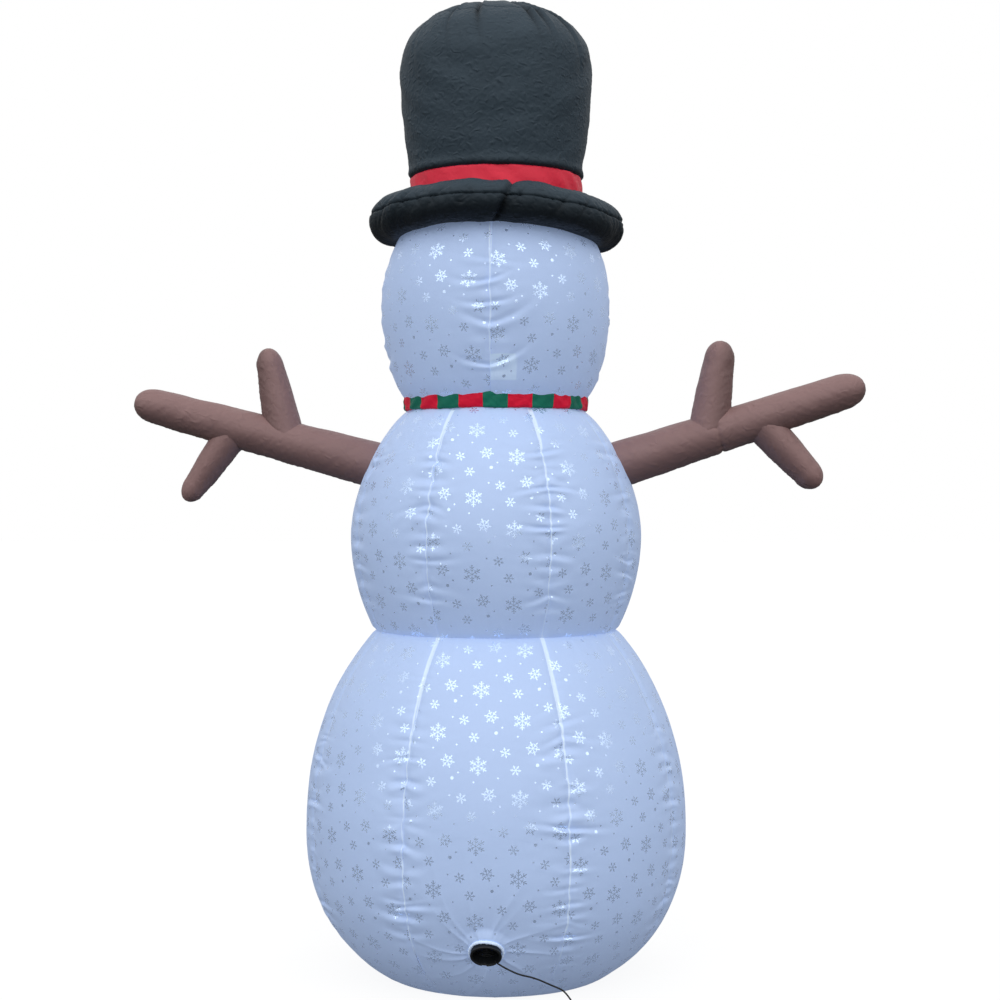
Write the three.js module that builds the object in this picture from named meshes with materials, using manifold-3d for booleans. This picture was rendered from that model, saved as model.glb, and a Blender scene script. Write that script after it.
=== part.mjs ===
// An inflatable yard snowman, 3.65 m tall: three sewn balls of printed fabric under a top hat,
// two branch arms, a scarf, the blower that keeps it up, its light string and its power lead.
// Millimetres, +Z up. The origin is the centre of the base on the ground, and the face looks along -Y.
import * as THREE from "three";
import { mergeVertices } from "three/addons/utils/BufferGeometryUtils.js";
import Module from "manifold-3d";

const wasm = await Module();
wasm.setup();

// ---------------------------------------------------------------- driving dimensions
const FABRIC = 2; // thickness of a fabric wall
const GAP = 0.3; // left between two pieces that touch
const LOWER_STEPS = 32; // sides of the lower ball
const UPPER_STEPS = 24; // sides of the balls above it and of the hat

// Each ball is widest at its middle. Above and below that its side is a rounded curve, whose height
// is the reach at which it would close and whose fullness is 2 for an ellipse.
const LOWER = {
  radius: 718, middle: 560, bottom: 0, top: 1288,
  below: { reach: 667, fullness: 2.2 }, above: { reach: 941, fullness: 2 },
};
const MIDDLE = {
  radius: 549, middle: 1640, bottom: 1288, top: 2130,
  below: { reach: 632, fullness: 2 }, above: { reach: 657, fullness: 1.8 },
};
const HEAD = {
  radius: 434, middle: 2500, bottom: 2130, top: 2796,
  below: { reach: 650, fullness: 1.8 }, above: { reach: 480, fullness: 2.2 },
};
const NECK_PINCH = { depth: 14, height: 2142, spread: 42 }; // where the scarf pulls the fabric in
// The directions of the vertical seams, in degrees from +X. The first gore lies after the first seam.
const BODY_SEAMS = [65.8, 114.2, 157.5, 202.5, 247.5, 292.5, 337.5, 382.5];
const HEAD_SEAMS = [90, 180, 270, 360];

const BRIM = { radius: 407, tube: 73, height: 2845, sideDrop: 16, roll: 0.026, seamTurn: 12 };
// The crown is widest at its waist, and rounds over from its shoulder. The top panel starts on that
// round, seamTurn degrees up.
const CROWN = {
  foot: 324, waist: 366, waistHeight: 3415, shoulder: 346, shoulderHeight: 3503, seamTurn: 34, top: 3660,
};
const BAND = { bottom: 2800, top: 3005, radius: 328 };
const SCARF = { bottom: 2118, top: 2178, thick: 6, knot: 52, tailWidth: 120 };

const ARM = { reach: 1400, shoulder: 479, height: 1919, rootRadius: 90, endRadius: 66, cap: 118, inside: 25 };
const ARM_HOLE = 98; // the room that the sleeve needs to sway in
const ARM_TILT = { left: 14.8, right: 17.6 }; // degrees above the horizontal
const UPPER_TWIG = { at: 343, angle: 63.3, length: 366, rootRadius: 74, endRadius: 50, cap: 62 };
const LOWER_TWIG = { at: 543, angle: -69.5, length: 343, rootRadius: 66, endRadius: 44, cap: 56 };

// The blower stands on its own axis, which leaves the back of the lower ball downwards.
const BLOWER = { y: 642, z: 227, dip: 40, bore: 48, wall: 5, mouth: 32 };
const FLANGE = { radius: 63, bottom: -32, top: -28 };
const CUFF = { bottom: 12, top: 23, thick: 8 };
const HOUSING = { radius: 60, wall: 4, front: -32.5, back: -114 };
const IMPELLER = { hub: 18, tip: 52, blades: 7, pitch: 36, top: -48, bottom: -78 };
const NOTCH_TURN = 134; // where the lead leaves the collar's rim
const BLOWER_STEPS = 20;

const CORD = { radius: 3, coilRadius: 36, coilX: -318, coilY: 646 };
const ZIP = { angle: -67.5, bottom: 150, top: 410, width: 30, lift: 1.5, thick: 1.8 };
const LOOPS = [-10, -60, -120, -170]; // degrees round the base, away from the blower
const LOOP_START = 5;

const degrees = THREE.MathUtils.degToRad;

// ---------------------------------------------------------------- solids
// A closed geometry as a solid that can be cut or joined.
function toSolid(geometry) {
  const bare = geometry.clone();
  bare.deleteAttribute("normal");
  bare.deleteAttribute("uv");
  const merged = mergeVertices(bare, 1e-4);
  return new wasm.Manifold(new wasm.Mesh({
    numProp: 3,
    vertProperties: merged.attributes.position.array,
    triVerts: new Uint32Array(merged.index.array),
  }));
}

function toGeometry(solid) {
  const mesh = solid.getMesh();
  const geometry = new THREE.BufferGeometry();
  geometry.setAttribute("position", new THREE.BufferAttribute(mesh.vertProperties, 3));
  geometry.setIndex(new THREE.BufferAttribute(mesh.triVerts, 1));
  return geometry;
}

const cut = (geometry, ...tools) =>
  toGeometry(tools.reduce((solid, tool) => solid.subtract(toSolid(tool)), toSolid(geometry)));
const join = (geometry, ...others) =>
  toGeometry(others.reduce((solid, other) => solid.add(toSolid(other)), toSolid(geometry)));
const common = (geometry, ...others) =>
  toGeometry(others.reduce((solid, other) => solid.intersect(toSolid(other)), toSolid(geometry)));

// A solid of revolution about +Z from [radius, height] points. Its first side faces -Y.
function turned(points, steps = UPPER_STEPS) {
  const area = points.reduce((sum, [r, z], i) => {
    const [nextR, nextZ] = points[(i + 1) % points.length];
    return sum + r * nextZ - nextR * z;
  }, 0);
  const ordered = area > 0 ? points : [...points].reverse();
  const closed = ordered[0][0] > 0 ? [...ordered, ordered[0]] : ordered;
  const profile = closed.map(([r, z]) => new THREE.Vector2(r, z));
  return new THREE.LatheGeometry(profile, steps).rotateX(Math.PI / 2);
}

function slab(width, depth, height, x = 0, y = 0, z = 0) {
  return new THREE.BoxGeometry(width, depth, height).translate(x, y, z);
}

function rod(radius, bottom, top, steps = 24) {
  return turned([[0, bottom], [radius, bottom], [radius, top], [0, top]], steps);
}

// A wedge about the Z axis from one direction to another, in degrees from +X.
function wedge(from, to, bottom, top, radius = 900) {
  const outline = new THREE.Shape();
  outline.moveTo(0, 0);
  for (const share of [0, 0.5, 1]) {
    const angle = degrees(from + (to - from) * share);
    outline.lineTo(radius * Math.cos(angle), radius * Math.sin(angle));
  }
  return new THREE.ExtrudeGeometry(outline, { depth: top - bottom, bevelEnabled: false })
    .translate(0, 0, bottom);
}

// ---------------------------------------------------------------- the balls
function ballRadius(ball, z) {
  const side = z < ball.middle ? ball.below : ball.above;
  const share = Math.abs(z - ball.middle) / side.reach;
  const full = ball.radius * (1 - share ** side.fullness) ** (1 / side.fullness);
  return full - NECK_PINCH.depth * Math.exp(-(((z - NECK_PINCH.height) / NECK_PINCH.spread) ** 2));
}

// The [radius, height] points of a ball's surface, moved out by an offset. They crowd to the two ends.
function ballLine(ball, bottom, top, offset, rows) {
  return Array.from({ length: rows + 1 }, (_, i) => {
    const z = bottom + ((top - bottom) * (1 - Math.cos((Math.PI * i) / rows))) / 2;
    return [ballRadius(ball, z) + offset, z];
  });
}

function ballShell(ball, bottom, top, inner, outer, rows) {
  return [
    ...ballLine(ball, bottom, top, outer, rows),
    ...ballLine(ball, bottom, top, inner, rows).reverse(),
  ];
}

// One ball's gores, each between two seams, with half a gap beside each seam.
function gores(ball, seams, rows, steps, holes = {}) {
  const shell = turned(ballShell(ball, ball.bottom, ball.top - GAP, -FABRIC, 0, rows), steps);
  const inset = (GAP / ball.radius) * (90 / Math.PI);
  return seams.map((start, i) => {
    const end = seams[i + 1] ?? seams[0] + 360;
    const gore = common(shell, wedge(start + inset, end - inset, ball.bottom - 1, ball.top + 1));
    return holes[i] ? cut(gore, holes[i]) : gore;
  });
}

// ---------------------------------------------------------------- the hat
function brimLift(x, y) {
  const round = Math.atan2(x, y);
  return BRIM.sideDrop * Math.cos(2 * round) + BRIM.roll * x;
}

// Half of the brim's tube: a strip of fabric from one direction round its section to another.
function brimPanel(from, to) {
  const rows = 6;
  const arc = (radius, start, end) =>
    Array.from({ length: rows + 1 }, (_, i) => {
      const angle = degrees(start + (end - start) * (i / rows));
      return [BRIM.radius + radius * Math.cos(angle), BRIM.height + radius * Math.sin(angle)];
    });
  const panel = turned([...arc(BRIM.tube, from, to), ...arc(BRIM.tube - FABRIC, to, from)]);
  const place = panel.attributes.position;
  for (let i = 0; i < place.count; i++)
    place.setZ(i, place.getZ(i) + brimLift(place.getX(i), place.getY(i)));
  return panel;
}

// The crown's side below its shoulder.
function crownRadius(z) {
  if (z < CROWN.waistHeight) {
    const share = (z - BAND.top) / (CROWN.waistHeight - BAND.top);
    return CROWN.foot + (CROWN.waist - CROWN.foot) * Math.sin((share * Math.PI) / 2);
  }
  const share = (z - CROWN.waistHeight) / (CROWN.shoulderHeight - CROWN.waistHeight);
  return CROWN.waist - (CROWN.waist - CROWN.shoulder) * share ** 2;
}

// The round above the shoulder, from one direction to another, moved out by an offset.
function crownRound(from, to, offset, rows) {
  const rise = CROWN.top - CROWN.shoulderHeight + offset;
  return Array.from({ length: rows + 1 }, (_, i) => {
    const angle = degrees(from + (to - from) * (i / rows));
    return [(CROWN.shoulder + offset) * Math.cos(angle), CROWN.shoulderHeight + rise * Math.sin(angle)];
  });
}

function crownSide() {
  const rows = 5;
  const line = (offset) =>
    Array.from({ length: rows }, (_, i) => {
      const z = BAND.top + GAP + (CROWN.shoulderHeight - BAND.top - GAP) * (i / rows);
      return [crownRadius(z) + offset, z];
    }).concat(crownRound(0, CROWN.seamTurn, offset, 3));
  return turned([...line(0), ...line(-FABRIC).reverse()]);
}

function crownTop() {
  const outer = crownRound(CROWN.seamTurn, 90, 0, 4);
  const inner = crownRound(CROWN.seamTurn, 90, -FABRIC, 4).reverse();
  for (const centre of [outer.at(-1), inner[0]]) centre[0] = 0;
  return turned([...outer, ...inner]).translate(0, 0, GAP);
}

function hatBand() {
  return turned([
    [BAND.radius - 4, BAND.bottom], [BAND.radius, BAND.bottom],
    [BAND.radius, BAND.top], [BAND.radius - 4, BAND.top],
  ]);
}

// ---------------------------------------------------------------- scarf and nose
function scarfBand() {
  const middle = (SCARF.bottom + SCARF.top) / 2;
  const inner = [
    [ballRadius(MIDDLE, SCARF.bottom) + 4, SCARF.bottom],
    [ballRadius(HEAD, middle) + 4, middle],
    [ballRadius(HEAD, SCARF.top) + 4, SCARF.top],
  ];
  const outer = inner.map(([r, z]) => [r + SCARF.thick, z]).reverse();
  return turned([...inner, ...outer]);
}

// A tail follows the chest, a little off it, and hangs from the knot.
function scarfTail(middle, top, bottom, lift) {
  const half = (SCARF.tailWidth / MIDDLE.radius) * (90 / Math.PI);
  const shell = turned(ballShell(MIDDLE, bottom, top, lift, lift + SCARF.thick, 6), 48);
  return common(shell, wedge(middle - half, middle + half, bottom - 1, top + 1));
}

function scarfKnot() {
  const [wide, deep, high] = [1.15, 0.62, 0.95];
  const knot = new THREE.SphereGeometry(SCARF.knot, 14, 8).scale(wide, deep, high);
  const front = -(ballRadius(HEAD, SCARF.top) + 4 + SCARF.thick + SCARF.knot * deep + 1);
  return knot.translate(24, front, 2143);
}

function nose() {
  const [root, tip, length] = [52, 9, 262];
  const cone = turned([
    [0, length], [tip, length - 5], [root, 0], [root - FABRIC, 0], [tip - FABRIC, length - 5 - FABRIC],
    [0, length - FABRIC],
  ], 16);
  return cone.rotateX(degrees(94));
}

// ---------------------------------------------------------------- arms
// A sleeve along +Z, open at its root and closed by a rounded end.
function sleeve(rootRadius, endRadius, bottom, length, cap, wall = FABRIC, steps = 16) {
  const rows = 4;
  const round = (radius, end) =>
    Array.from({ length: rows + 1 }, (_, i) => {
      const angle = ((Math.PI / 2) * i) / rows;
      return [radius * Math.cos(angle), end - cap + cap * Math.sin(angle)];
    });
  const outer = [[rootRadius, bottom], ...round(endRadius, length)];
  if (!wall) return turned([[0, bottom], ...outer], steps);
  const inner = [[rootRadius - wall, bottom], ...round(endRadius - wall, length - wall)];
  return turned([...outer, ...inner.reverse()], steps);
}

// A branch's tilt in the XZ plane, for a sleeve that was made along +Z.
const leanedOver = (geometry, angle) => geometry.rotateY(degrees(90 - angle));

function twig(shape, arm) {
  const grown = leanedOver(
    sleeve(shape.rootRadius, shape.endRadius, 0, shape.length, shape.cap, FABRIC, 10), shape.angle);
  return cut(grown.translate(shape.at, 0, 0), arm);
}

// One arm in its own frame: the sleeve's axis is +X and the shoulder is at the origin.
function armPieces(tilt) {
  const length = (ARM.reach - ARM.shoulder) / Math.cos(degrees(tilt));
  const along = (wall, extra = 0) =>
    leanedOver(sleeve(ARM.rootRadius + extra, ARM.endRadius + extra, -ARM.inside, length, ARM.cap, wall), 0);
  const keepOut = along(0, GAP);
  return {
    arm: along(FABRIC),
    upper_twig: twig(UPPER_TWIG, keepOut),
    lower_twig: twig(LOWER_TWIG, keepOut),
  };
}

// The hole that one arm goes through, in the part's frame. side is 1 for +X and -1 for -X.
function armHole(side, tilt) {
  const hole = leanedOver(rod(ARM_HOLE, -90, 90, 28), 0);
  hole.rotateY(degrees(-tilt)).translate(ARM.shoulder, 0, ARM.height);
  return side > 0 ? hole : hole.rotateZ(Math.PI);
}

// ---------------------------------------------------------------- the blower, in its own frame
// Its axis is +Z, which points out of the inlet, and the fabric is at height 0.
function blowerCollar() {
  const { bore, wall, mouth } = BLOWER;
  const ring = turned([
    [bore, FLANGE.bottom], [FLANGE.radius, FLANGE.bottom], [FLANGE.radius, FLANGE.top],
    [bore + wall, FLANGE.top], [bore + wall, mouth - 5], [bore + wall + 2, mouth - 5],
    [bore + wall + 2, mouth], [bore, mouth],
  ], BLOWER_STEPS);
  const notch = slab(26, 10, 24, bore + 3, 0, mouth).rotateZ(degrees(NOTCH_TURN));
  return cut(ring, notch);
}

function inletGrille() {
  const hoop = (radius) =>
    turned([[radius - 2, -6], [radius, -6], [radius, -3], [radius - 2, -3]], 12);
  const spokes = [0, 60, 120].map((turn) =>
    slab(2 * (BLOWER.bore - 4), 2, 2, 0, 0, -4.5).rotateZ(degrees(turn)));
  return join(hoop(BLOWER.bore - 2), hoop(26), ...spokes);
}

function blowerHousing() {
  const { radius, wall, front, back } = HOUSING;
  return turned([
    [BLOWER.bore + 2, front], [radius, front], [radius, back], [radius - wall, back],
    [radius - wall, front - wall], [BLOWER.bore + 2, front - wall],
  ], BLOWER_STEPS);
}

function motorMount() {
  const { radius, wall, back } = HOUSING;
  const rim = radius - wall - GAP;
  const ring = turned([[rim - 4, back], [rim, back], [rim, back + 6], [rim - 4, back + 6]], BLOWER_STEPS);
  const seat = rod(20, back, back + 4, 16);
  const struts = [90, 210, 330].map((turn) =>
    slab(rim - 20, 6, 4, (rim + 18) / 2, 0, back + 2).rotateZ(degrees(turn)));
  return join(ring, seat, ...struts);
}

// The motor is a can with a blind hole, in which the impeller's shaft turns.
function motor() {
  const [foot, top] = [HOUSING.back + 4 + GAP, IMPELLER.bottom - 4];
  return turned([
    [0, foot], [19, foot], [19, top - 2], [17, top], [3.2, top], [3.2, foot + 8], [0, foot + 8],
  ], 20);
}

function impeller() {
  const { hub, tip, blades, pitch, top, bottom } = IMPELLER;
  const core = turned([
    [0, bottom - 18], [2.5, bottom - 18], [2.5, bottom], [hub, bottom], [hub, top - 8],
    [hub - 8, top - 1], [0, top],
  ], 20);
  const vanes = Array.from({ length: blades }, (_, i) =>
    slab(tip - hub + 6, 2, 26, (tip + hub - 6) / 2, 0, 0)
      .rotateX(degrees(pitch))
      .translate(0, 0, (top + bottom) / 2 - 3)
      .rotateZ((2 * Math.PI * i) / blades));
  return join(core, ...vanes);
}

// The fabric cuff that is drawn tight round the collar.
function inletCuff() {
  const { bottom, top, thick } = CUFF;
  const inner = BLOWER.bore + BLOWER.wall + GAP;
  return turned([
    [inner, bottom], [inner + thick - 2, bottom], [inner + thick, (bottom + top) / 2],
    [inner + thick - 2, top - 1], [inner, top],
  ], BLOWER_STEPS);
}

// ---------------------------------------------------------------- leads and lights
function tube(points, radius, sides, steps) {
  const section = new THREE.Shape();
  for (let i = 0; i < sides; i++) {
    const angle = (2 * Math.PI * (i + 0.5)) / sides;
    const [x, y] = [radius * Math.cos(angle), radius * Math.sin(angle)];
    if (i) section.lineTo(x, y);
    else section.moveTo(x, y);
  }
  const path = new THREE.CatmullRomCurve3(points.map(([x, y, z]) => new THREE.Vector3(x, y, z)));
  return new THREE.ExtrudeGeometry(section, { steps, extrudePath: path, bevelEnabled: false });
}

// From the notch in the collar's rim, through the air to the ground, and along it to the coil.
const CORD_ROUTE = [
  [-28, 643, 188], [-35, 641, 181], [-42, 637, 175], [-64, 634, 161], [-106, 627, 139],
  [-133, 622, 131], [-161, 614, 124], [-199, 602, 106], [-237, 592, 86], [-265, 585, 75],
  [-287, 580, 46], [-304, 577, 18], [-324, 577, 4.5], [-346, 584, 3.3], [-363, 604, 3.3],
  [-370, 626, 3.3], [-371.5, 646, 3.3],
];

function powerCord() {
  return tube(CORD_ROUTE, CORD.radius, 8, 38);
}

function cordCoil() {
  const [thick, height] = [13, 19];
  const [inner, outer] = [CORD.coilRadius - thick, CORD.coilRadius + thick];
  return turned([
    [inner, 3], [inner + 3, 0.2], [outer - 3, 0.2], [outer, 3], [outer, height - 4],
    [outer - 4, height], [inner + 4, height], [inner, height - 4],
  ], 24).translate(CORD.coilX, CORD.coilY, 0);
}

// A plug-in transformer on its side: a rounded block, a strain relief and two flat pins.
function powerAdapter() {
  const [long, wide, high, corner] = [78, 52, 40, 6];
  const outline = new THREE.Shape();
  outline.moveTo(corner, 0).lineTo(long - corner, 0).lineTo(long, corner).lineTo(long, wide - corner);
  outline.lineTo(long - corner, wide).lineTo(corner, wide).lineTo(0, wide - corner).lineTo(0, corner);
  const block = new THREE.ExtrudeGeometry(outline, { depth: high - 0.2, bevelEnabled: false });
  const relief = turned([[0, -26], [4.4, -26], [7, 1], [0, 1]], 12).rotateY(degrees(90)).translate(0, 14, 9);
  const pins = [20, 33].map((x) => slab(6.4, 18, 1.6, x, wide + 8, high / 2));
  return join(block, relief, ...pins).translate(0, 0, 0.2);
}

const LAMP_HEIGHTS = [660, 1640, 2480];

function lightCord() {
  return tube([
    [0, 550, 304.5], [0, 528, 320], [0, 460, 322], [0, 330, 190], [0, 200, 100], [0, 90, 90],
    [0, 20, 180], [0, 0, 300], [0, 0, 400], [0, 0, 500], [0, 0, 900], [0, 0, 1500], [0, 0, 2200],
    [0, 0, 2900], [0, 0, CROWN.top - 4],
  ], 2.5, 8, 40);
}

// A lamp is clipped on the cord: a ribbed cap over a clear cover, with the cord's hole through it.
function ledLamp() {
  return turned([
    [3.4, 0], [15, 0], [22, 16], [21, 36], [13, 50], [13, 76], [9, 82], [3.4, 82],
  ], 12);
}

// ---------------------------------------------------------------- base, loops and zip
function tieLoop() {
  const [wide, long, slotWide, slotLong] = [52, 40, 30, 16];
  const outline = new THREE.Shape();
  const corner = 8;
  outline.moveTo(0, -wide / 2).lineTo(long - corner, -wide / 2).lineTo(long, -wide / 2 + corner);
  outline.lineTo(long, wide / 2 - corner).lineTo(long - corner, wide / 2).lineTo(0, wide / 2);
  const slot = new THREE.Path();
  const start = 14;
  slot.moveTo(start, -slotWide / 2).lineTo(start, slotWide / 2);
  slot.lineTo(start + slotLong, slotWide / 2).lineTo(start + slotLong, -slotWide / 2);
  outline.holes.push(slot);
  return new THREE.ExtrudeGeometry(outline, { depth: 2.5, bevelEnabled: false })
    .translate(LOWER_FOOT + LOOP_START, 0, 0.2);
}

const LOWER_FOOT = ballRadius(LOWER, 0);

function basePanel() {
  return rod(LOWER_FOOT - FABRIC - GAP - 1, 0, FABRIC, LOWER_STEPS);
}

// The circle through three points of the ball's side, on which the tape lies.
function zipArc() {
  const [[ax, ay], [bx, by], [cx, cy]] = [ZIP.bottom, (ZIP.bottom + ZIP.top) / 2, ZIP.top]
    .map((z) => [ballRadius(LOWER, z), z]);
  const twice = 2 * (ax * (by - cy) + bx * (cy - ay) + cx * (ay - by));
  const [a, b, c] = [ax * ax + ay * ay, bx * bx + by * by, cx * cx + cy * cy];
  const r = (a * (by - cy) + b * (cy - ay) + c * (ay - by)) / twice;
  const z = (a * (cx - bx) + b * (ax - cx) + c * (bx - ax)) / twice;
  const angle = (height, radius) => Math.atan2(height - z, radius - r);
  return { r, z, radius: Math.hypot(ax - r, ay - z), from: angle(ay, ax), to: angle(cy, cx) };
}

const ZIP_ARC = zipArc();

function zipTape() {
  const rows = 8;
  const line = (offset) =>
    Array.from({ length: rows + 1 }, (_, i) => {
      const angle = ZIP_ARC.from + (ZIP_ARC.to - ZIP_ARC.from) * (i / rows);
      const radius = ZIP_ARC.radius + offset;
      return [ZIP_ARC.r + radius * Math.cos(angle), ZIP_ARC.z + radius * Math.sin(angle)];
    });
  const half = (ZIP.width / LOWER.radius) * (90 / Math.PI);
  const shell = turned([...line(ZIP.lift + ZIP.thick), ...line(ZIP.lift).reverse()], 64);
  return common(shell, wedge(ZIP.angle - half, ZIP.angle + half, ZIP.bottom - 5, ZIP.top + 5));
}

// The slider and its pull, in a frame that stands on the tape: +X is away from the ball, +Z up along it.
function zipSlider() {
  const body = slab(6, 14, 20, 3, 0, 0);
  const bridge = cut(slab(7, 4, 12, 9, 0, 2), slab(4, 6, 6, 8, 0, 2));
  return join(body, bridge);
}

function zipPull() {
  const outline = new THREE.Shape();
  outline.moveTo(-5, 1).lineTo(-5, -34).lineTo(-3, -37).lineTo(3, -37).lineTo(5, -34).lineTo(5, 1);
  const eye = new THREE.Path();
  eye.moveTo(-2.8, -1).lineTo(2.8, -1).lineTo(2.8, -8.5).lineTo(-2.8, -8.5);
  outline.holes.push(eye);
  return new THREE.ExtrudeGeometry(outline, { depth: 1.6, bevelEnabled: false })
    .rotateX(Math.PI / 2).rotateZ(Math.PI / 2).translate(-0.8, 0, 0);
}

// ---------------------------------------------------------------- materials
const finish = (color, roughness, metalness = 0) =>
  new THREE.MeshStandardMaterial({ color, roughness, metalness });
const SNOW = finish(0xc3d3f2, 0.62);
const HAT = finish(0x1d2328, 0.6);
const BAND_RED = finish(0xd8304c, 0.65);
const SCARF_RED = finish(0xc8102e, 0.7);
const BARK = finish(0x6b4a44, 0.6);
const CARROT = finish(0xe0691f, 0.6);
const PLASTIC = finish(0x141618, 0.45);
const METAL = finish(0xb5b8bc, 0.35, 0.9);
const RUBBER = finish(0x0f0f10, 0.7);
const CLEAR = finish(0xe8eef2, 0.15);
const WEBBING = finish(0x1a1a1c, 0.8);
const ZIP_TAPE = finish(0xe4e9f0, 0.75);

// ---------------------------------------------------------------- assembly
const snowman = new THREE.Group();

function add(group, name, geometry, material) {
  const mesh = new THREE.Mesh(geometry, material);
  mesh.name = name;
  group.add(mesh);
  return mesh;
}

function addEnvelope() {
  const inlet = rod(BLOWER.bore + BLOWER.wall + 2, -60, 60, BLOWER_STEPS);
  inlet.rotateX(degrees(-90 - BLOWER.dip)).translate(0, BLOWER.y, BLOWER.z);
  const balls = {
    lower_gore: gores(LOWER, BODY_SEAMS, 11, LOWER_STEPS, { 0: inlet }),
    middle_gore: gores(MIDDLE, BODY_SEAMS, 8, UPPER_STEPS,
      { 2: armHole(-1, ARM_TILT.right), 6: armHole(1, ARM_TILT.left) }),
    head_gore: gores(HEAD, HEAD_SEAMS, 8, UPPER_STEPS),
  };
  for (const [name, panels] of Object.entries(balls))
    panels.forEach((panel, i) => add(snowman, `${name}_${i + 1}`, panel, SNOW));
  add(snowman, "base_panel", basePanel(), WEBBING);
}

function addHat() {
  add(snowman, "brim_lower_panel", brimPanel(-102, BRIM.seamTurn - GAP), HAT);
  add(snowman, "brim_upper_panel", brimPanel(BRIM.seamTurn + GAP, 166), HAT);
  add(snowman, "hat_band", hatBand(), BAND_RED);
  add(snowman, "crown_side", crownSide(), HAT);
  add(snowman, "crown_top", crownTop(), HAT);
}

function addScarfAndNose() {
  add(snowman, "scarf_band", scarfBand(), SCARF_RED);
  add(snowman, "scarf_knot", scarfKnot(), SCARF_RED);
  add(snowman, "scarf_tail_long", scarfTail(-83, 2086, 1560, 4), SCARF_RED);
  add(snowman, "scarf_tail_short", scarfTail(-94, 2086, 1690, 12), SCARF_RED);
  const carrot = add(snowman, "nose", nose(), CARROT);
  carrot.position.set(0, -(HEAD.radius + 4), 2492);
}

function addArms() {
  for (const side of ["left", "right"]) {
    const arm = new THREE.Group();
    for (const [name, geometry] of Object.entries(armPieces(ARM_TILT[side])))
      add(arm, `${side}_${name}`, geometry, BARK);
    arm.rotation.set(0, degrees(-ARM_TILT[side]), 0);
    arm.position.set(ARM.shoulder, 0, ARM.height);
    const half = new THREE.Group();
    half.add(arm);
    if (side === "right") half.rotation.z = Math.PI;
    snowman.add(half);
  }
}

function addBlower() {
  const blower = new THREE.Group();
  add(blower, "inlet_cuff", inletCuff(), SNOW);
  add(blower, "blower_collar", blowerCollar(), PLASTIC);
  add(blower, "inlet_grille", inletGrille(), PLASTIC);
  add(blower, "blower_housing", blowerHousing(), PLASTIC);
  add(blower, "motor_mount", motorMount(), PLASTIC);
  add(blower, "motor", motor(), METAL);
  add(blower, "impeller", impeller(), PLASTIC);
  blower.rotation.x = degrees(-90 - BLOWER.dip);
  blower.position.set(0, BLOWER.y, BLOWER.z);
  snowman.add(blower);
}

function addPower() {
  add(snowman, "power_cord", powerCord(), RUBBER);
  add(snowman, "cord_coil", cordCoil(), RUBBER);
  const adapter = add(snowman, "power_adapter", powerAdapter(), RUBBER);
  adapter.position.set(-240, 674, 0);
}

function addLights() {
  add(snowman, "light_cord", lightCord(), CLEAR);
  LAMP_HEIGHTS.forEach((z, i) => {
    add(snowman, `led_lamp_${i + 1}`, ledLamp(), CLEAR).position.z = z;
  });
}

function addTieLoops() {
  LOOPS.forEach((angle, i) => {
    add(snowman, `tie_loop_${i + 1}`, tieLoop(), WEBBING).rotation.z = degrees(angle);
  });
}

function addZip() {
  add(snowman, "zipper_tape", zipTape(), ZIP_TAPE);
  // The slider stands near the tape's upper end, square to the arc there. Its pull hangs straight down.
  const angle = ZIP_ARC.to - 20 / ZIP_ARC.radius;
  const radius = ZIP_ARC.radius + ZIP.lift + ZIP.thick + 2 * GAP;
  const stand = new THREE.Group();
  add(stand, "zipper_slider", zipSlider(), METAL);
  const pull = add(stand, "zipper_pull", zipPull(), METAL);
  pull.position.set(8, 0, 3);
  pull.rotation.y = angle;
  stand.rotation.set(0, -angle, 0);
  stand.position.set(ZIP_ARC.r + radius * Math.cos(angle), 0, ZIP_ARC.z + radius * Math.sin(angle));
  const turn = new THREE.Group();
  turn.add(stand);
  turn.rotation.z = degrees(ZIP.angle);
  snowman.add(turn);
}

addEnvelope();
addHat();
addScarfAndNose();
addArms();
addBlower();
addPower();
addLights();
addTieLoops();
addZip();

export default snowman;
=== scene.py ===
"""The looks of the inflatable yard snowman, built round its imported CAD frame."""
import math

import bmesh
import bpy
import numpy as np
from mathutils import Matrix, Vector


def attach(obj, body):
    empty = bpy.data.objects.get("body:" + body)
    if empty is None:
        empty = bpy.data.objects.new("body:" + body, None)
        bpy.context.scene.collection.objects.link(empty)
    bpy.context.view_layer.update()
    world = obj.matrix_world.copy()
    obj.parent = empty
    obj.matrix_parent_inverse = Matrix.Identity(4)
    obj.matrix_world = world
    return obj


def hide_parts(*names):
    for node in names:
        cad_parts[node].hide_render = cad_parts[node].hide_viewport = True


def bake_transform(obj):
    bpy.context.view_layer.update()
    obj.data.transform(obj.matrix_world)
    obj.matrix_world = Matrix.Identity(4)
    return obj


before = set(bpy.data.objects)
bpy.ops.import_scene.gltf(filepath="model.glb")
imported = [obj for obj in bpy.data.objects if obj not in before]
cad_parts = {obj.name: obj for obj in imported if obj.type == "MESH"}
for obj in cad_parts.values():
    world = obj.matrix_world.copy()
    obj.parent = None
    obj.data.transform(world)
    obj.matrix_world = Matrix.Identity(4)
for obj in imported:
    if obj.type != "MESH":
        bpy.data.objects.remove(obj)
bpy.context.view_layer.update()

# ------------------------------------------------------------------ camera
VIEW_TURN = math.radians(3.0)  # the figure stands a little turned to its viewer
CAMERA_DISTANCE, EYE_HEIGHT = 6.70, 1.80


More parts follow.
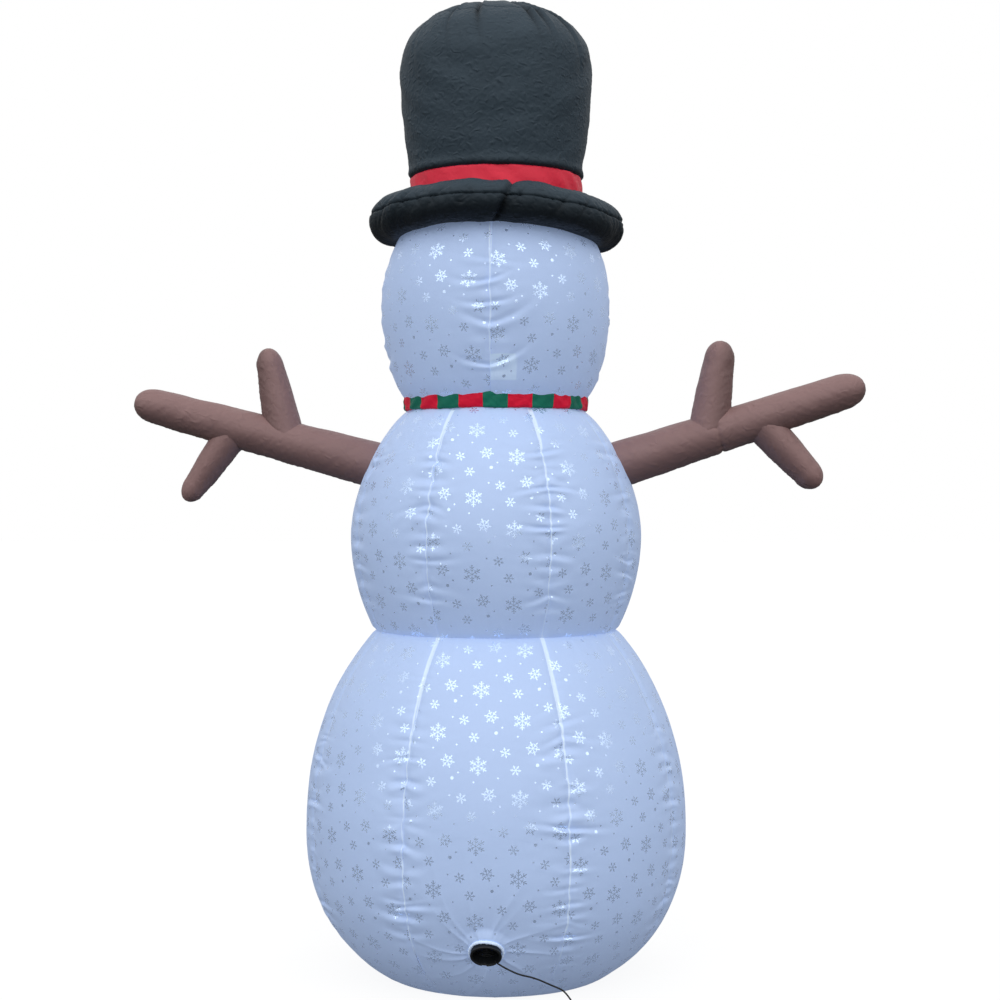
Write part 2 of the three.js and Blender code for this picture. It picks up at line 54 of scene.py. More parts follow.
def make_camera():
    data = bpy.data.cameras.new("camera")
    data.sensor_width = 36
    data.lens = 63
    data.shift_x, data.shift_y = 0.004, -0.005
    data.clip_end = 200
    camera = bpy.data.objects.new("camera", data)
    bpy.context.scene.collection.objects.link(camera)
    camera.location = (
        -CAMERA_DISTANCE * math.sin(VIEW_TURN),
        CAMERA_DISTANCE * math.cos(VIEW_TURN),
        EYE_HEIGHT,
    )
    camera.rotation_euler = (math.pi / 2, 0, math.pi + VIEW_TURN)
    bpy.context.scene.camera = camera


make_camera()
bpy.context.scene.view_settings.view_transform = "Standard"
bpy.context.scene.view_settings.look = "None"


# ------------------------------------------------------------------ small helpers
def smooth(low, high, x):
    t = np.clip((x - low) / (high - low), 0, 1)
    return t * t * (3 - 2 * t)


def ripple(x, y, seed, scale, count=7, stretch=1.0):
    """A smooth uneven surface from -1 to 1, of waves about 1/scale long, stretched along y."""
    rng = np.random.default_rng(seed)
    total = np.zeros(np.broadcast(x, y).shape)
    for _ in range(count):
        angle, phase = rng.uniform(0, math.pi), rng.uniform(0, math.tau)
        k = math.tau * scale * rng.uniform(0.6, 1.6)
        total += np.sin(k * (x * math.cos(angle) + y * math.sin(angle) / stretch) + phase)
    return total / math.sqrt(count * 2)


def crumple(x, y, seed, scale, stretch=1.0):
    """A net of thin winding ridges, as in fabric that was packed away: 0 to about 1."""
    total = np.zeros(np.broadcast(x, y).shape)
    for octave in range(3):
        wave = ripple(x, y, seed + octave, scale * 1.9**octave, 6, stretch)
        total += (1 - np.clip(np.abs(wave), 0, 1)) ** 3 * 0.6**octave
    return total / 1.6


def creases(t, seed, count, width, span):
    """Sharp narrow folds at uneven places along a closed line of length span: 0 to about 1."""
    rng = np.random.default_rng(seed)
    total = np.zeros_like(t)
    for i in range(count):
        place = span * (i + rng.uniform(0.1, 0.9)) / count
        gap = np.abs((t - place + span / 2) % span - span / 2)
        total += rng.uniform(0.35, 1.0) * np.exp(-gap / (width * rng.uniform(0.6, 1.5)))
    return total


def ring_grid(first, last, rows, cols):
    """Steps from first to last down the rows, and angles once round across the columns."""
    turn = np.linspace(0, math.tau, cols, endpoint=False)
    return np.meshgrid(np.linspace(first, last, rows), turn, indexing="ij")


def stack(x, y, z=None):
    """Points from their coordinates. z is zero where it isn't given."""
    return np.stack([x, y, np.zeros_like(x) if z is None else z], axis=-1)


def surface(name, points, material, attributes=None, wrap=False, keep=None):
    """A mesh of quads over a grid of points. wrap joins its last column to its first."""
    rows, cols = points.shape[:2]
    index = np.arange(rows * cols).reshape(rows, cols)
    if wrap:
        index = np.concatenate([index, index[:, :1]], axis=1)
    quads = np.stack(
        [index[:-1, :-1], index[:-1, 1:], index[1:, 1:], index[1:, :-1]], axis=-1
    ).reshape(-1, 4)
    if keep is not None:
        flat_keep = keep.reshape(-1)
        quads = quads[flat_keep[quads].all(axis=1)]
    mesh = bpy.data.meshes.new(name)
    mesh.from_pydata(points.reshape(-1, 3).tolist(), [], quads.tolist())
    for key, value in (attributes or {}).items():
        if value.ndim == 3:
            layer = mesh.attributes.new(key, "FLOAT_VECTOR", "POINT")
            layer.data.foreach_set("vector", value.reshape(-1).astype(np.float32))
        else:
            layer = mesh.attributes.new(key, "FLOAT", "POINT")
            layer.data.foreach_set("value", value.reshape(-1).astype(np.float32))
    mesh.validate()
    loose = bmesh.new()
    loose.from_mesh(mesh)
    bmesh.ops.delete(loose, geom=[v for v in loose.verts if not v.link_faces], context="VERTS")
    loose.to_mesh(mesh)
    loose.free()
    mesh.polygons.foreach_set("use_smooth", [True] * len(mesh.polygons))
    mesh.materials.append(material)
    piece = bpy.data.objects.new(name, mesh)
    bpy.context.scene.collection.objects.link(piece)
    return piece


def settle(piece, body, slot, *nodes):
    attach(piece, body)
    if nodes:
        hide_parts(*nodes)
    return piece


def lathe(name, profile, material, axis_matrix=None, steps=96, wobble=None, close=False):
    """A turned piece from [radius, height] points in metres. wobble may change radius and height."""
    rows = np.array(profile + [profile[0]] if close else profile, float)
    turn = np.linspace(0, math.tau, steps, endpoint=False)
    radius = np.repeat(rows[:, :1], steps, axis=1)
    height = np.repeat(rows[:, 1:], steps, axis=1)
    if wobble:
        radius, height = wobble(radius, height, turn[None, :])
    points = stack(radius * np.cos(turn), radius * np.sin(turn), height)
    flat = stack(turn[None, :] * radius.max() + 0 * radius, height)
    piece = surface(name, points, material, {"flat": flat}, wrap=True)
    if axis_matrix is not None:
        piece.data.transform(axis_matrix)
    return piece


# ------------------------------------------------------------------ shader nodes
class Nodes:
    """Builds one material's nodes with short calls."""

    def __init__(self, name):
        self.material = bpy.data.materials.new(name)
        self.material.use_nodes = True
        self.tree = self.material.node_tree
        self.tree.nodes.clear()
        self.out = self.tree.nodes.new("ShaderNodeOutputMaterial")
        self.shader = self.tree.nodes.new("ShaderNodeBsdfPrincipled")
        self.tree.links.new(self.shader.outputs[0], self.out.inputs[0])

    def put(self, socket, value):
        if isinstance(value, bpy.types.NodeSocket):
            self.tree.links.new(value, socket)
        elif value is not None:
            socket.default_value = value

    def math(self, operation, a, b=None, c=None):
        node = self.tree.nodes.new("ShaderNodeMath")
        node.operation = operation
        for socket, value in zip(node.inputs, (a, b, c)):
            self.put(socket, value)
        return node.outputs[0]

    def vector(self, operation, a, b=None):
        node = self.tree.nodes.new("ShaderNodeVectorMath")
        node.operation = operation
        self.put(node.inputs[0], a)
        if b is not None:
            self.put(node.inputs[1], b)
        return node.outputs["Value" if operation in ("LENGTH", "DOT_PRODUCT") else "Vector"]

    def attribute(self, name, output="Fac"):
        node = self.tree.nodes.new("ShaderNodeAttribute")
        node.attribute_name = name
        return node.outputs[output]

    def place(self):
        return self.tree.nodes.new("ShaderNodeTexCoord").outputs["Object"]

    def noise(self, vector, scale, detail=3.0, roughness=0.5, kind="FBM", distortion=0.0):
        node = self.tree.nodes.new("ShaderNodeTexNoise")
        node.noise_type = kind
        self.put(node.inputs["Vector"], vector)
        node.inputs["Scale"].default_value = scale
        node.inputs["Detail"].default_value = detail
        node.inputs["Roughness"].default_value = roughness
        node.inputs["Distortion"].default_value = distortion
        return node.outputs[0]

    def split(self, vector):
        node = self.tree.nodes.new("ShaderNodeSeparateXYZ")
        self.put(node.inputs[0], vector)
        return node.outputs

    def remap(self, value, a, b, c=0.0, d=1.0):
        node = self.tree.nodes.new("ShaderNodeMapRange")
        node.interpolation_type = "SMOOTHSTEP"
        self.put(node.inputs[0], value)
        for i, number in enumerate((a, b, c, d), 1):
            node.inputs[i].default_value = number
        return node.outputs[0]

    def blend(self, factor, a, b):
        node = self.tree.nodes.new("ShaderNodeMix")
        node.data_type = "RGBA"
        self.put(node.inputs[0], factor)
        self.put(node.inputs[6], a)
        self.put(node.inputs[7], b)
        return node.outputs[2]

    def stretched(self, vector, x, y, z=1.0):
        return self.vector("MULTIPLY", vector, (x, y, z))

    def bump(self, height, distance, strength=1.0, below=None):
        node = self.tree.nodes.new("ShaderNodeBump")
        node.inputs["Strength"].default_value = strength
        node.inputs["Distance"].default_value = distance
        self.put(node.inputs["Height"], height)
        if below is not None:
            self.put(node.inputs["Normal"], below)
        return node.outputs[0]

    def finish(self, colour, roughness, normal=None, metallic=None, **sockets):
        self.put(self.shader.inputs["Base Color"], colour)
        self.put(self.shader.inputs["Roughness"], roughness)
        if metallic is not None:
            self.put(self.shader.inputs["Metallic"], metallic)
        if normal is not None:
            self.put(self.shader.inputs["Normal"], normal)
        for name, value in sockets.items():
            self.shader.inputs[name.replace("_", " ")].default_value = value
        return self.material


def weave(n, flat, pitch=0.0011):
    """Crossed threads, pitch apart."""
    x, y, _ = n.split(flat)
    across = n.math("SINE", n.math("MULTIPLY", x, math.tau / pitch))
    along = n.math("SINE", n.math("MULTIPLY", y, math.tau / pitch))
    return n.math("MULTIPLY", across, along)


# The print repeats on a slanted lattice. Its two steps, and each motif's place, are in metres.
STEP_A, STEP_B = (0.145, -0.114), (0.005, 0.271)
DOTS = [
    (0.055, -0.156, 0.0060), (-0.015, -0.055, 0.0032), (0.069, -0.041, 0.0032),
    (0.076, -0.137, 0.0032), (0.052, 0.056, 0.0032),
]


def lattice(n, flat):
    """The print's own coordinates: whole numbers at the lattice's points."""
    (ax, ay), (bx, by) = STEP_A, STEP_B
    area = ax * by - bx * ay
    place = n.tree.nodes.new("ShaderNodeCombineXYZ")
    n.put(place.inputs[0], n.vector("DOT_PRODUCT", flat, (by / area, -bx / area, 0)))
    n.put(place.inputs[1], n.vector("DOT_PRODUCT", flat, (-ay / area, ax / area, 0)))
    return place.outputs[0]


def motif_place(n, cells, x, y):
    """Metres from the nearest copy of the motif at x, y."""
    (ax, ay), (bx, by) = STEP_A, STEP_B
    area = ax * by - bx * ay
    offset = ((by * x - bx * y) / area, (-ay * x + ax * y) / area, 0)
    wrap = n.tree.nodes.new("ShaderNodeVectorMath")
    wrap.operation = "WRAP"
    n.put(wrap.inputs[0], n.vector("SUBTRACT", cells, offset))
    wrap.inputs[1].default_value = (0.5, 0.5, 0.5)
    wrap.inputs[2].default_value = (-0.5, -0.5, -0.5)
    across = n.vector("DOT_PRODUCT", wrap.outputs[0], (ax, bx, 0))
    up = n.vector("DOT_PRODUCT", wrap.outputs[0], (ay, by, 0))
    square = n.math("MULTIPLY_ADD", across, across, n.math("MULTIPLY", up, up))
    return across, up, n.math("SQRT", square)


def flake(n, cells, x, y, size, turn, barbs, thick, spread):
    """One six-armed flake. Each barb is its start along the arm, its length and its half width."""
    across, up, radius = motif_place(n, cells, x, y)
    turned = n.math("ADD", n.math("ARCTAN2", up, across), 4 * math.pi + math.radians(turn))
    folded = n.math("PINGPONG", turned, math.pi / 6)
    reach = n.math("DIVIDE", radius, size)
    along = n.math("MULTIPLY", reach, n.math("COSINE", folded))
    aside = n.math("MULTIPLY", reach, n.math("SINE", folded))
    half = n.math("MULTIPLY_ADD", along, spread, thick)
    shape = n.math("MULTIPLY", n.math("LESS_THAN", aside, half), n.math("LESS_THAN", along, 1.0))
    for start, length, width in barbs:
        ahead = n.math("SUBTRACT", along, start)
        t = n.math("ADD", n.math("MULTIPLY", ahead, 0.57), n.math("MULTIPLY", aside, 0.82))
        off = n.math("SUBTRACT", n.math("MULTIPLY", aside, 0.57), n.math("MULTIPLY", ahead, 0.82))
        barb = n.math("LESS_THAN", n.math("ABSOLUTE", off), width)
        barb = n.math("MULTIPLY", barb, n.math("LESS_THAN", t, length))
        shape = n.math("MAXIMUM", shape, n.math("MULTIPLY", barb, n.math("GREATER_THAN", t, 0.0)))
    return shape


def flake_mask(n, flat):
    """Six-armed flakes in three sizes, and dots."""
    cells = lattice(n, flat)
    shape = flake(n, cells, 0, 0, 0.033, 90, [(0.36, 0.26, 0.040), (0.62, 0.30, 0.042)], 0.024, 0.040)
    medium = flake(n, cells, 0.038, -0.098, 0.025, 70, [(0.45, 0.34, 0.052)], 0.032, 0.055)
    shape = n.math("MAXIMUM", shape, medium)
    for x, y, turn in ((0.093, 0.046, 78), (0.129, -0.015, 65)):
        small = flake(n, cells, x, y, 0.0185, turn, [(0.55, 0.26, 0.065)], 0.048, 0.055)
        shape = n.math("MAXIMUM", shape, small)
    for x, y, size in DOTS:
        dot = n.math("LESS_THAN", motif_place(n, cells, x, y)[2], size)
        shape = n.math("MAXIMUM", shape, dot)
    return shape


def snow_fabric():
    n = Nodes("snow_fabric")
    flat = n.attribute("flat", "Vector")
    seam = n.attribute("seam")
    gather = n.attribute("gather")
    mask = flake_mask(n, flat)
    tone = n.noise(flat, 2.3, 3)
    cloth = n.blend(tone, (0.395, 0.51, 0.75, 1), (0.445, 0.565, 0.815, 1))
    fold_over = n.math("SUBTRACT", n.noise(flat, 9.0, 3), 0.5)
    ragged = n.math("MULTIPLY_ADD", fold_over, 0.007, n.math("SUBTRACT", seam, n.attribute("tape")))
    on_seam = n.remap(ragged, -0.001, 0.003, 0.8, 0.0)
    on_seam = n.math("MULTIPLY", on_seam, n.remap(n.attribute("tape"), 0.0006, 0.0022))
    cloth = n.blend(on_seam, cloth, (0.74, 0.86, 0.99, 1))
    cloth = n.blend(n.math("MULTIPLY", n.attribute("patch"), 0.75), cloth, (0.60, 0.75, 0.92, 1))
    printed = n.math("MULTIPLY", mask, n.remap(seam, 0.0015, 0.0035))
    colour = n.blend(printed, cloth, (0.60, 0.745, 0.97, 1))
    metallic = n.math("MULTIPLY", printed, 0.95)
    roughness = n.math("MULTIPLY_ADD", printed, -0.32, 0.52)
    lines = n.tree.nodes.new("ShaderNodeCombineXYZ")
    x, y, _ = n.split(flat)
    n.put(lines.inputs[0], n.math("MULTIPLY", seam, 9.0))
    n.put(lines.inputs[1], n.math("MULTIPLY", y, 40.0))
    n.put(lines.inputs[2], x)
    pucker = n.noise(lines.outputs[0], 1.0, 4, 0.6, "RIDGED_MULTIFRACTAL")
    pucker = n.math("MULTIPLY", pucker, gather)
    drape = n.noise(n.stretched(flat, 6, 6), 1.0, 4, 0.5)
    normal = n.bump(drape, 0.0035, 0.5)
    normal = n.bump(pucker, 0.0006, 0.9, normal)
    normal = n.bump(weave(n, flat), 0.00006, 0.5, normal)
    n.shader.inputs["Emission Color"].default_value = (0.455, 0.605, 0.94, 1)  # painted glow: stands in for daylight coming through the thin fabric, lifting its shaded sides
    return n.finish(
        colour, roughness, normal, metallic, Sheen_Weight=0.1, Sheen_Roughness=0.5,
        Specular_IOR_Level=0.4, Emission_Strength=0.25,
    )


def plain_fabric(name, dark, light, roughness, crinkle, crinkle_size, sheen=0.25, shine=0.3, shade=None):
    """Thin polyester: two close tones, crinkles of a given height and size, and a fine weave."""
    n = Nodes(name)
    flat = n.attribute("flat", "Vector")
    tone = n.noise(flat, 5.0, 4)
    colour = n.blend(tone, (*dark, 1), (*light, 1))
    if shade:  # painted shade: darker in the folds, along seams, under the brim and on the arms' undersides
        colour = n.blend(n.attribute(shade), (dark[0] / 7, dark[1] / 7, dark[2] / 7, 1), colour)
    net = n.noise(n.stretched(flat, 1, 1.3), crinkle_size, 4, 0.5, "RIDGED_MULTIFRACTAL", 0.6)
    soft = n.noise(flat, crinkle_size / 3, 3)
    normal = n.bump(soft, crinkle * 2, 0.5)
    normal = n.bump(net, crinkle, 0.8, normal)
    normal = n.bump(weave(n, flat), 0.00006, 0.5, normal)
    rough = n.math("MULTIPLY_ADD", tone, 0.12, roughness - 0.06)
    return n.finish(
        colour, rough, normal, None, Sheen_Weight=sheen, Sheen_Roughness=0.4, Specular_IOR_Level=shine
    )


def moulded(name, colour, roughness, metallic=0.0, grain=900.0, depth=0.00015):
    n = Nodes(name)
    place = n.place()
    spots = n.noise(place, 14.0, 4)
    shade = tuple(c * 0.78 for c in colour)
    tone = n.blend(spots, (*shade, 1), (*colour, 1))
    rough = n.math("MULTIPLY_ADD", n.noise(place, 60.0, 3), 0.18, roughness - 0.09)
    normal = n.bump(n.noise(place, grain, 2), depth, 0.6)
    n.shader.inputs["Metallic"].default_value = metallic
    return n.finish(tone, rough, normal)


def scarf_fabric(name, blocks):
    """Red and green blocks, one after the other along the scarf, in a brushed weave."""
    n = Nodes(name)
    flat = n.attribute("flat", "Vector")
    x, y, _ = n.split(flat)
    half = n.math("FRACT", n.math("DIVIDE", n.math("ADD", x, 400 * blocks), 2 * blocks))
    green = n.math("LESS_THAN", half, 0.5)
    tone = n.noise(flat, 18.0, 4)
    red = n.blend(tone, (0.72, 0.003, 0.034, 1), (0.86, 0.006, 0.048, 1))
    leaf = n.blend(tone, (0.004, 0.14, 0.088, 1), (0.006, 0.20, 0.128, 1))
    colour = n.blend(green, red, leaf)
    net = n.noise(n.stretched(flat, 0.7, 1.5), 34.0, 4, 0.5, "RIDGED_MULTIFRACTAL", 0.5)
    normal = n.bump(net, 0.0035, 0.8)
    normal = n.bump(weave(n, flat, 0.0016), 0.00012, 0.6, normal)
    return n.finish(colour, 0.62, normal, None, Sheen_Weight=0.05, Specular_IOR_Level=0.2)


SNOW = snow_fabric()
HAT = plain_fabric(
    "hat_fabric", (0.038, 0.056, 0.074), (0.052, 0.077, 0.100), 0.5, 0.0064, 34.0, 0.0, 0.13, "shade"
)
BAND = plain_fabric("band_fabric", (0.80, 0.022, 0.058), (0.90, 0.030, 0.072), 0.5, 0.0022, 30.0, 0.05)
BARK = plain_fabric(
    "bark_fabric", (0.255, 0.150, 0.146), (0.325, 0.200, 0.194), 0.46, 0.0044, 30.0, 0.03, 0.3, "shade"
)
CARROT = plain_fabric("nose_fabric", (0.62, 0.16, 0.020), (0.72, 0.21, 0.03), 0.5, 0.002, 30.0)
COAL = plain_fabric("coal_fabric", (0.016, 0.017, 0.02), (0.028, 0.03, 0.033), 0.5, 0.0012, 40.0)
WEBBING = plain_fabric("webbing", (0.012, 0.012, 0.014), (0.03, 0.03, 0.033), 0.75, 0.0008, 60.0)
SCARF_BLOCK = 0.0925
SCARF = scarf_fabric("scarf_fabric", SCARF_BLOCK)
PLASTIC = moulded("black_plastic", (0.006, 0.008, 0.010), 0.5)
STEEL = moulded("motor_steel", (0.55, 0.56, 0.58), 0.34, 0.95, 400.0)
RUBBER = moulded("cord_rubber", (0.004, 0.004, 0.005), 0.55, 0.0, 1500.0, 0.00005)
ADAPTER = moulded("adapter_plastic", (0.012, 0.012, 0.013), 0.42)
WIRE = moulded("light_wire", (0.62, 0.64, 0.66), 0.4)
LAMP = moulded("lamp_cover", (0.80, 0.84, 0.86), 0.16, 0.0, 120.0)
ZIP_TAPE = plain_fabric("zip_tape", (0.62, 0.65, 0.70), (0.76, 0.79, 0.84), 0.7, 0.0006, 60.0)
ZIP_METAL = moulded("zip_metal", (0.50, 0.51, 0.53), 0.3, 0.95, 600.0)

# ------------------------------------------------------------------ the balls
LOWER = dict(radius=0.718, middle=0.560, bottom=0.0, top=1.288, below=(0.657, 2.3), above=(0.941, 2.0))
MIDDLE = dict(radius=0.549, middle=1.640, bottom=1.288, top=2.130, below=(0.632, 2.0), above=(0.657, 1.8))
HEAD = dict(radius=0.434, middle=2.500, bottom=2.130, top=2.800, below=(0.650, 1.8), above=(0.480, 2.2))
PINCH = dict(depth=0.014, height=2.142, spread=0.042)
SHOULDER = (0.479, 0, 1.919)  # where each arm's axis meets the middle ball, mirrored on the right


def ball_radius(ball, z):
    low = z < ball["middle"]
    reach = np.where(low, ball["below"][0], ball["above"][0])
    full = np.where(low, ball["below"][1], ball["above"][1])
    share = np.abs(z - ball["middle"]) / reach
    radius = ball["radius"] * (1 - share**full) ** (1 / full)
    return radius - PINCH["depth"] * np.exp(-(((z - PINCH["height"]) / PINCH["spread"]) ** 2))


def even_heights(ball, rows):
    """Heights that are evenly spaced along the side's own length, and that length."""
    z = np.linspace(ball["bottom"], ball["top"], 2000)
    r = ball_radius(ball, z)
    run = np.concatenate([[0], np.cumsum(np.hypot(np.diff(z), np.diff(r)))])
    even = np.linspace(0, run[-1], rows)
    return np.interp(even, run, z), even


BLOWER_AT = Vector((0, 0.642, 0.227))
BLOWER_TURN = Matrix.Translation(BLOWER_AT) @ Matrix.Rotation(math.radians(-130), 4, "X")


def gather_round_inlet(points):
    """The back panel's fabric is drawn out and in to the collar. Returns the points and what to keep."""
    inverse, forward = np.array(BLOWER_TURN.inverted()), np.array(BLOWER_TURN)
    local = points @ inverse[:3, :3].T + inverse[:3, 3]
    rho = np.hypot(local[..., 0], local[..., 1])
    near = (rho < 0.5) & (local[..., 2] > -0.2)
    turn = np.arctan2(local[..., 1], local[..., 0]) % (math.tau)
    folds = creases(turn, 11, 30, 0.055, math.tau) - 0.5
    long_folds = creases(turn + 1.2 * rho, 23, 13, 0.05, math.tau)
    fade = np.exp(-np.clip(rho - 0.06, 0, 1) / 0.03)
    far = np.exp(-np.clip(rho - 0.06, 0, 1) / 0.13)
    lift = 0.006 * folds * fade + 0.013 * (long_folds - 0.3) * far * smooth(0.058, 0.085, rho)
    pull = 1 - smooth(0.056, 0.092, rho)
    height = local[..., 2] * (1 - pull) + 0.008 * pull
    moved = local.copy()
    moved[..., 2] = np.where(near, height + lift * (1 - 0.6 * pull), local[..., 2])
    rim = near & (rho < 0.0535)
    for axis in (0, 1):  # the cut edge is drawn up to one even circle
        moved[..., axis] = np.where(rim, local[..., axis] * 0.0535 / np.maximum(rho, 0.01), local[..., axis])
    return moved @ forward[:3, :3].T + forward[:3, 3], ~(near & (rho < 0.046))


def arm_hole_keep(points):
    keep = np.ones(points.shape[:2], bool)
    for side, tilt in ((1, 14.8), (-1, 17.6)):
        axis = np.array([side * math.cos(math.radians(tilt)), 0, math.sin(math.radians(tilt))])
        from_shoulder = points - np.array([side * SHOULDER[0], 0, SHOULDER[2]])
        along = from_shoulder @ axis
        off = np.linalg.norm(from_shoulder - along[..., None] * axis, axis=-1)
        keep &= ~((off < 0.078) & (np.abs(along) < 0.15))
    return keep


def seam_folds(seam, v, side, seed, run, spacing, reach, smile):
    """Small folds that start at a seam, on one side of it, where its thread gathers the fabric."""
    rng = np.random.default_rng(seed)
    total = np.zeros_like(seam)
    for i in range(int(run / spacing)):
        place = (i + rng.uniform(0.0, 1.0)) * spacing
        long = reach * rng.uniform(0.45, 1.3, 2)[side]
        slope = rng.normal(0, 0.13, 2)[side]
        bend = smile + rng.uniform(-1.2, 1.2)
        width = rng.uniform(0.0045, 0.0105) * (1 + 5 * reach)
        size = rng.uniform(0.15, 1.0) ** 1.5
        gap = (v - place - slope * seam - bend * seam**2) / (width * (1 + 5 * seam))
        valley = np.exp(-(gap**2))
        lip = np.exp(-(((gap + 1.6) / 1.2) ** 2))
        total += size * (0.75 * lip - valley) * np.exp(-((seam / long) ** 2))
    return total


ZIP_CENTRE, ZIP_RADIUS = (0.10395, 0.51571), 0.61089
ZIP_TURN = math.radians(-67.5)


def under_zip(r, angle, z):
    """The lower ball's radius, with the fabric held flat behind the zip's tape."""
    aside = np.abs((angle - ZIP_TURN + math.pi) % (math.tau) - math.pi) * r
    rise = np.clip((z - ZIP_CENTRE[1]) / ZIP_RADIUS, -1, 1)
    bed = ZIP_CENTRE[0] + ZIP_RADIUS * np.sqrt(1 - rise**2) - 0.0012
    share = (1 - smooth(0.018, 0.040, aside)) * smooth(0.100, 0.145, z) * (1 - smooth(0.415, 0.460, z))
    return r + (bed - r) * share


def panel_grid(ball, start, end, rows, cols, even):
    """The fractions across and along a panel, and the lengths along it. Columns crowd to the seams."""
    z_line, run = even_heights(ball, rows)
    u_line = np.linspace(-1, 1, cols)
    u_line = np.sign(u_line) * (1 - (1 - np.abs(u_line)) ** (1.0 if even else 1.25))
    u, z = np.meshgrid(u_line, z_line)
    _, v = np.meshgrid(u_line, run)
    return u, z, v, run[-1]


def ball_panel(name, node, ball, seams, index, rows, cols, seed, puckers, fold, origin=None, reshape=None):
    """One sewn panel. puckers gives how strongly each height is gathered at the seams."""
    start = math.radians(seams[index])
    end = math.radians(seams[(index + 1) % len(seams)]) + (0 if index + 1 < len(seams) else math.tau)
    centre, half = (start + end) / 2, (end - start) / 2
    u, z, v, run = panel_grid(ball, start, end, rows, cols, reshape is gather_round_inlet)
    radius = ball_radius(ball, z)
    angle = centre + u * half
    seam = (1 - np.abs(u)) * half * radius
    strength = puckers(z)
    shape = -0.006 * np.exp(-((seam / 0.014) ** 2)) + 0.004 * (1 - u**4)
    sideways = np.zeros_like(u)
    for right in (0, 1):
        here = u > 0 if right else u <= 0
        line = seed + 7 * ((index + right) % len(seams))  # both sides of one seam share its folds
        folds = seam_folds(seam, v, right, line, run, *fold)
        bulges = ripple(seam, v, line + 31, 10, 6, 0.6) * np.exp(-seam / 0.07)
        side_seam = 1.0 if (index + right) % len(seams) < 2 or len(seams) < 8 else 0.75
        gathered = 0.0098 * folds * smooth(-0.002, 0.005, seam) + 0.0026 * bulges
        shape += here * side_seam * strength * gathered
        sideways += here * strength * 0.0035 * ripple(0 * v, v, line + 3, 9) * np.exp(-seam / 0.05)
    shape += 0.0018 * ripple(angle * 0.6, v, seed + 5, 2.4)
    shape += 0.0004 * crumple(angle * 0.6, v, seed + 6, 6.0)
    ends = np.minimum(v, run - v)
    shape += 0.0024 * ripple(angle * 0.5, ends, seed + 9, 22, 5, 5.0) * np.exp(-ends / 0.05)
    shape *= smooth(-0.002, 0.02, ends)
    r, angle = radius + shape, angle + sideways / radius
    r = under_zip(r, angle, z) if ball is LOWER else r
    points = stack(r * np.cos(angle), r * np.sin(angle), z)
    points, keep = reshape(points) if reshape else (points, None)
    if origin:
        height = np.interp(origin[1], z[:, 0], v[:, 0])
        flat = stack(u * half * radius - origin[0], v - height)
    else:
        flat = stack(u * half * radius + 1.37 * index, v + 0.61 * index + seed)
    gather = strength * np.exp(-seam / 0.05)
    backed = np.where(u > 0, index + 1 in (0, 1, len(seams)), index in (0, 1))
    backed = backed * (1 if len(seams) == 8 else 0.6)
    upper = smooth(0.35, 0.85, v / run)
    tape = 0.0004 + 0.0009 * smooth(0.1, 0.4, v / run) + backed * (0.0008 + 0.0052 * upper * (1 - strength))
    across = (angle - math.pi / 2) * radius * (1 if ball is HEAD and index == 0 else 9)
    patch = smooth(-0.105, -0.100, across) * (1 - smooth(0.092, 0.097, across))
    patch *= smooth(2.213, 2.219, z) * (1 - smooth(2.306, 2.312, z)) * (ball is HEAD)
    attributes = {"flat": flat, "seam": seam, "gather": gather, "tape": tape, "patch": patch}
    panel = surface(name, points, SNOW, attributes, keep=keep)
    settle(panel, "figure", "snow_fabric", node)


def with_arm_hole(points):
    return points, arm_hole_keep(points)


def lower_puckers(z):
    return smooth(0.10, 0.30, z) * (1 - smooth(0.86, 1.10, z)) * 0.92 + 0.08


def middle_puckers(z):
    return smooth(1.33, 1.46, z) * (1 - smooth(1.92, 2.06, z)) * 0.92 + 0.06


def head_puckers(z):
    return smooth(2.18, 2.26, z) * (1 - smooth(2.60, 2.74, z)) * 0.9 + 0.05


BODY_SEAMS = [65.8, 114.2, 157.5, 202.5, 247.5, 292.5, 337.5, 382.5]
HEAD_SEAMS = [90, 180, 270, 360]
# How far apart the folds at a seam are, how far they reach, and how much they droop in the middle
BODY_FOLD, HEAD_FOLD = (0.048, 0.082, 0.0), (0.070, 0.095, 1.3)
LOWER_ORIGIN = {0: (-0.021, 1.118), 1: (-0.080, 0.938), 7: (0.228, 0.888)}
MIDDLE_ORIGIN = {0: (-0.046, 2.034), 1: (-0.098, 1.896), 7: (0.092, 1.564)}
HEAD_ORIGIN = {0: (-0.301, 2.649), 3: (0.262, 2.575)}


def balls():
    for i in range(8):
        cols, reshape = (120, gather_round_inlet) if i == 0 else (52, None)
        ball_panel(f"lower_panel_{i + 1}", f"lower_gore_{i + 1}", LOWER, BODY_SEAMS, i, 400, cols, 3,
                   lower_puckers, BODY_FOLD, LOWER_ORIGIN.get(i), reshape)
        reshape = with_arm_hole if i in (2, 6) else None
        ball_panel(f"middle_panel_{i + 1}", f"middle_gore_{i + 1}", MIDDLE, BODY_SEAMS, i, 250, 46, 240,
                   middle_puckers, BODY_FOLD, MIDDLE_ORIGIN.get(i), reshape)
    for i in range(4):
        ball_panel(f"head_panel_{i + 1}", f"head_gore_{i + 1}", HEAD, HEAD_SEAMS, i, 200, 90, 480,
                   head_puckers, HEAD_FOLD, HEAD_ORIGIN.get(i))


balls()


def base_disc():
    rings = np.linspace(0.0005, 0.4262, 40)
    turn = np.linspace(0, math.tau, 120, endpoint=False)
    r, a = np.meshgrid(rings, turn, indexing="ij")
    z = 0.0012 + 0.0008 * ripple(r * np.cos(a), r * np.sin(a), 2, 9)
    z = np.clip(z, 0.0002, None)
    points = stack(r * np.cos(-a), r * np.sin(-a), z)
    flat = stack(r * np.cos(a), r * np.sin(a))
    disc = surface("base_disc", points, WEBBING, {"flat": flat}, wrap=True)
    settle(disc, "figure", "webbing", "base_panel")


base_disc()

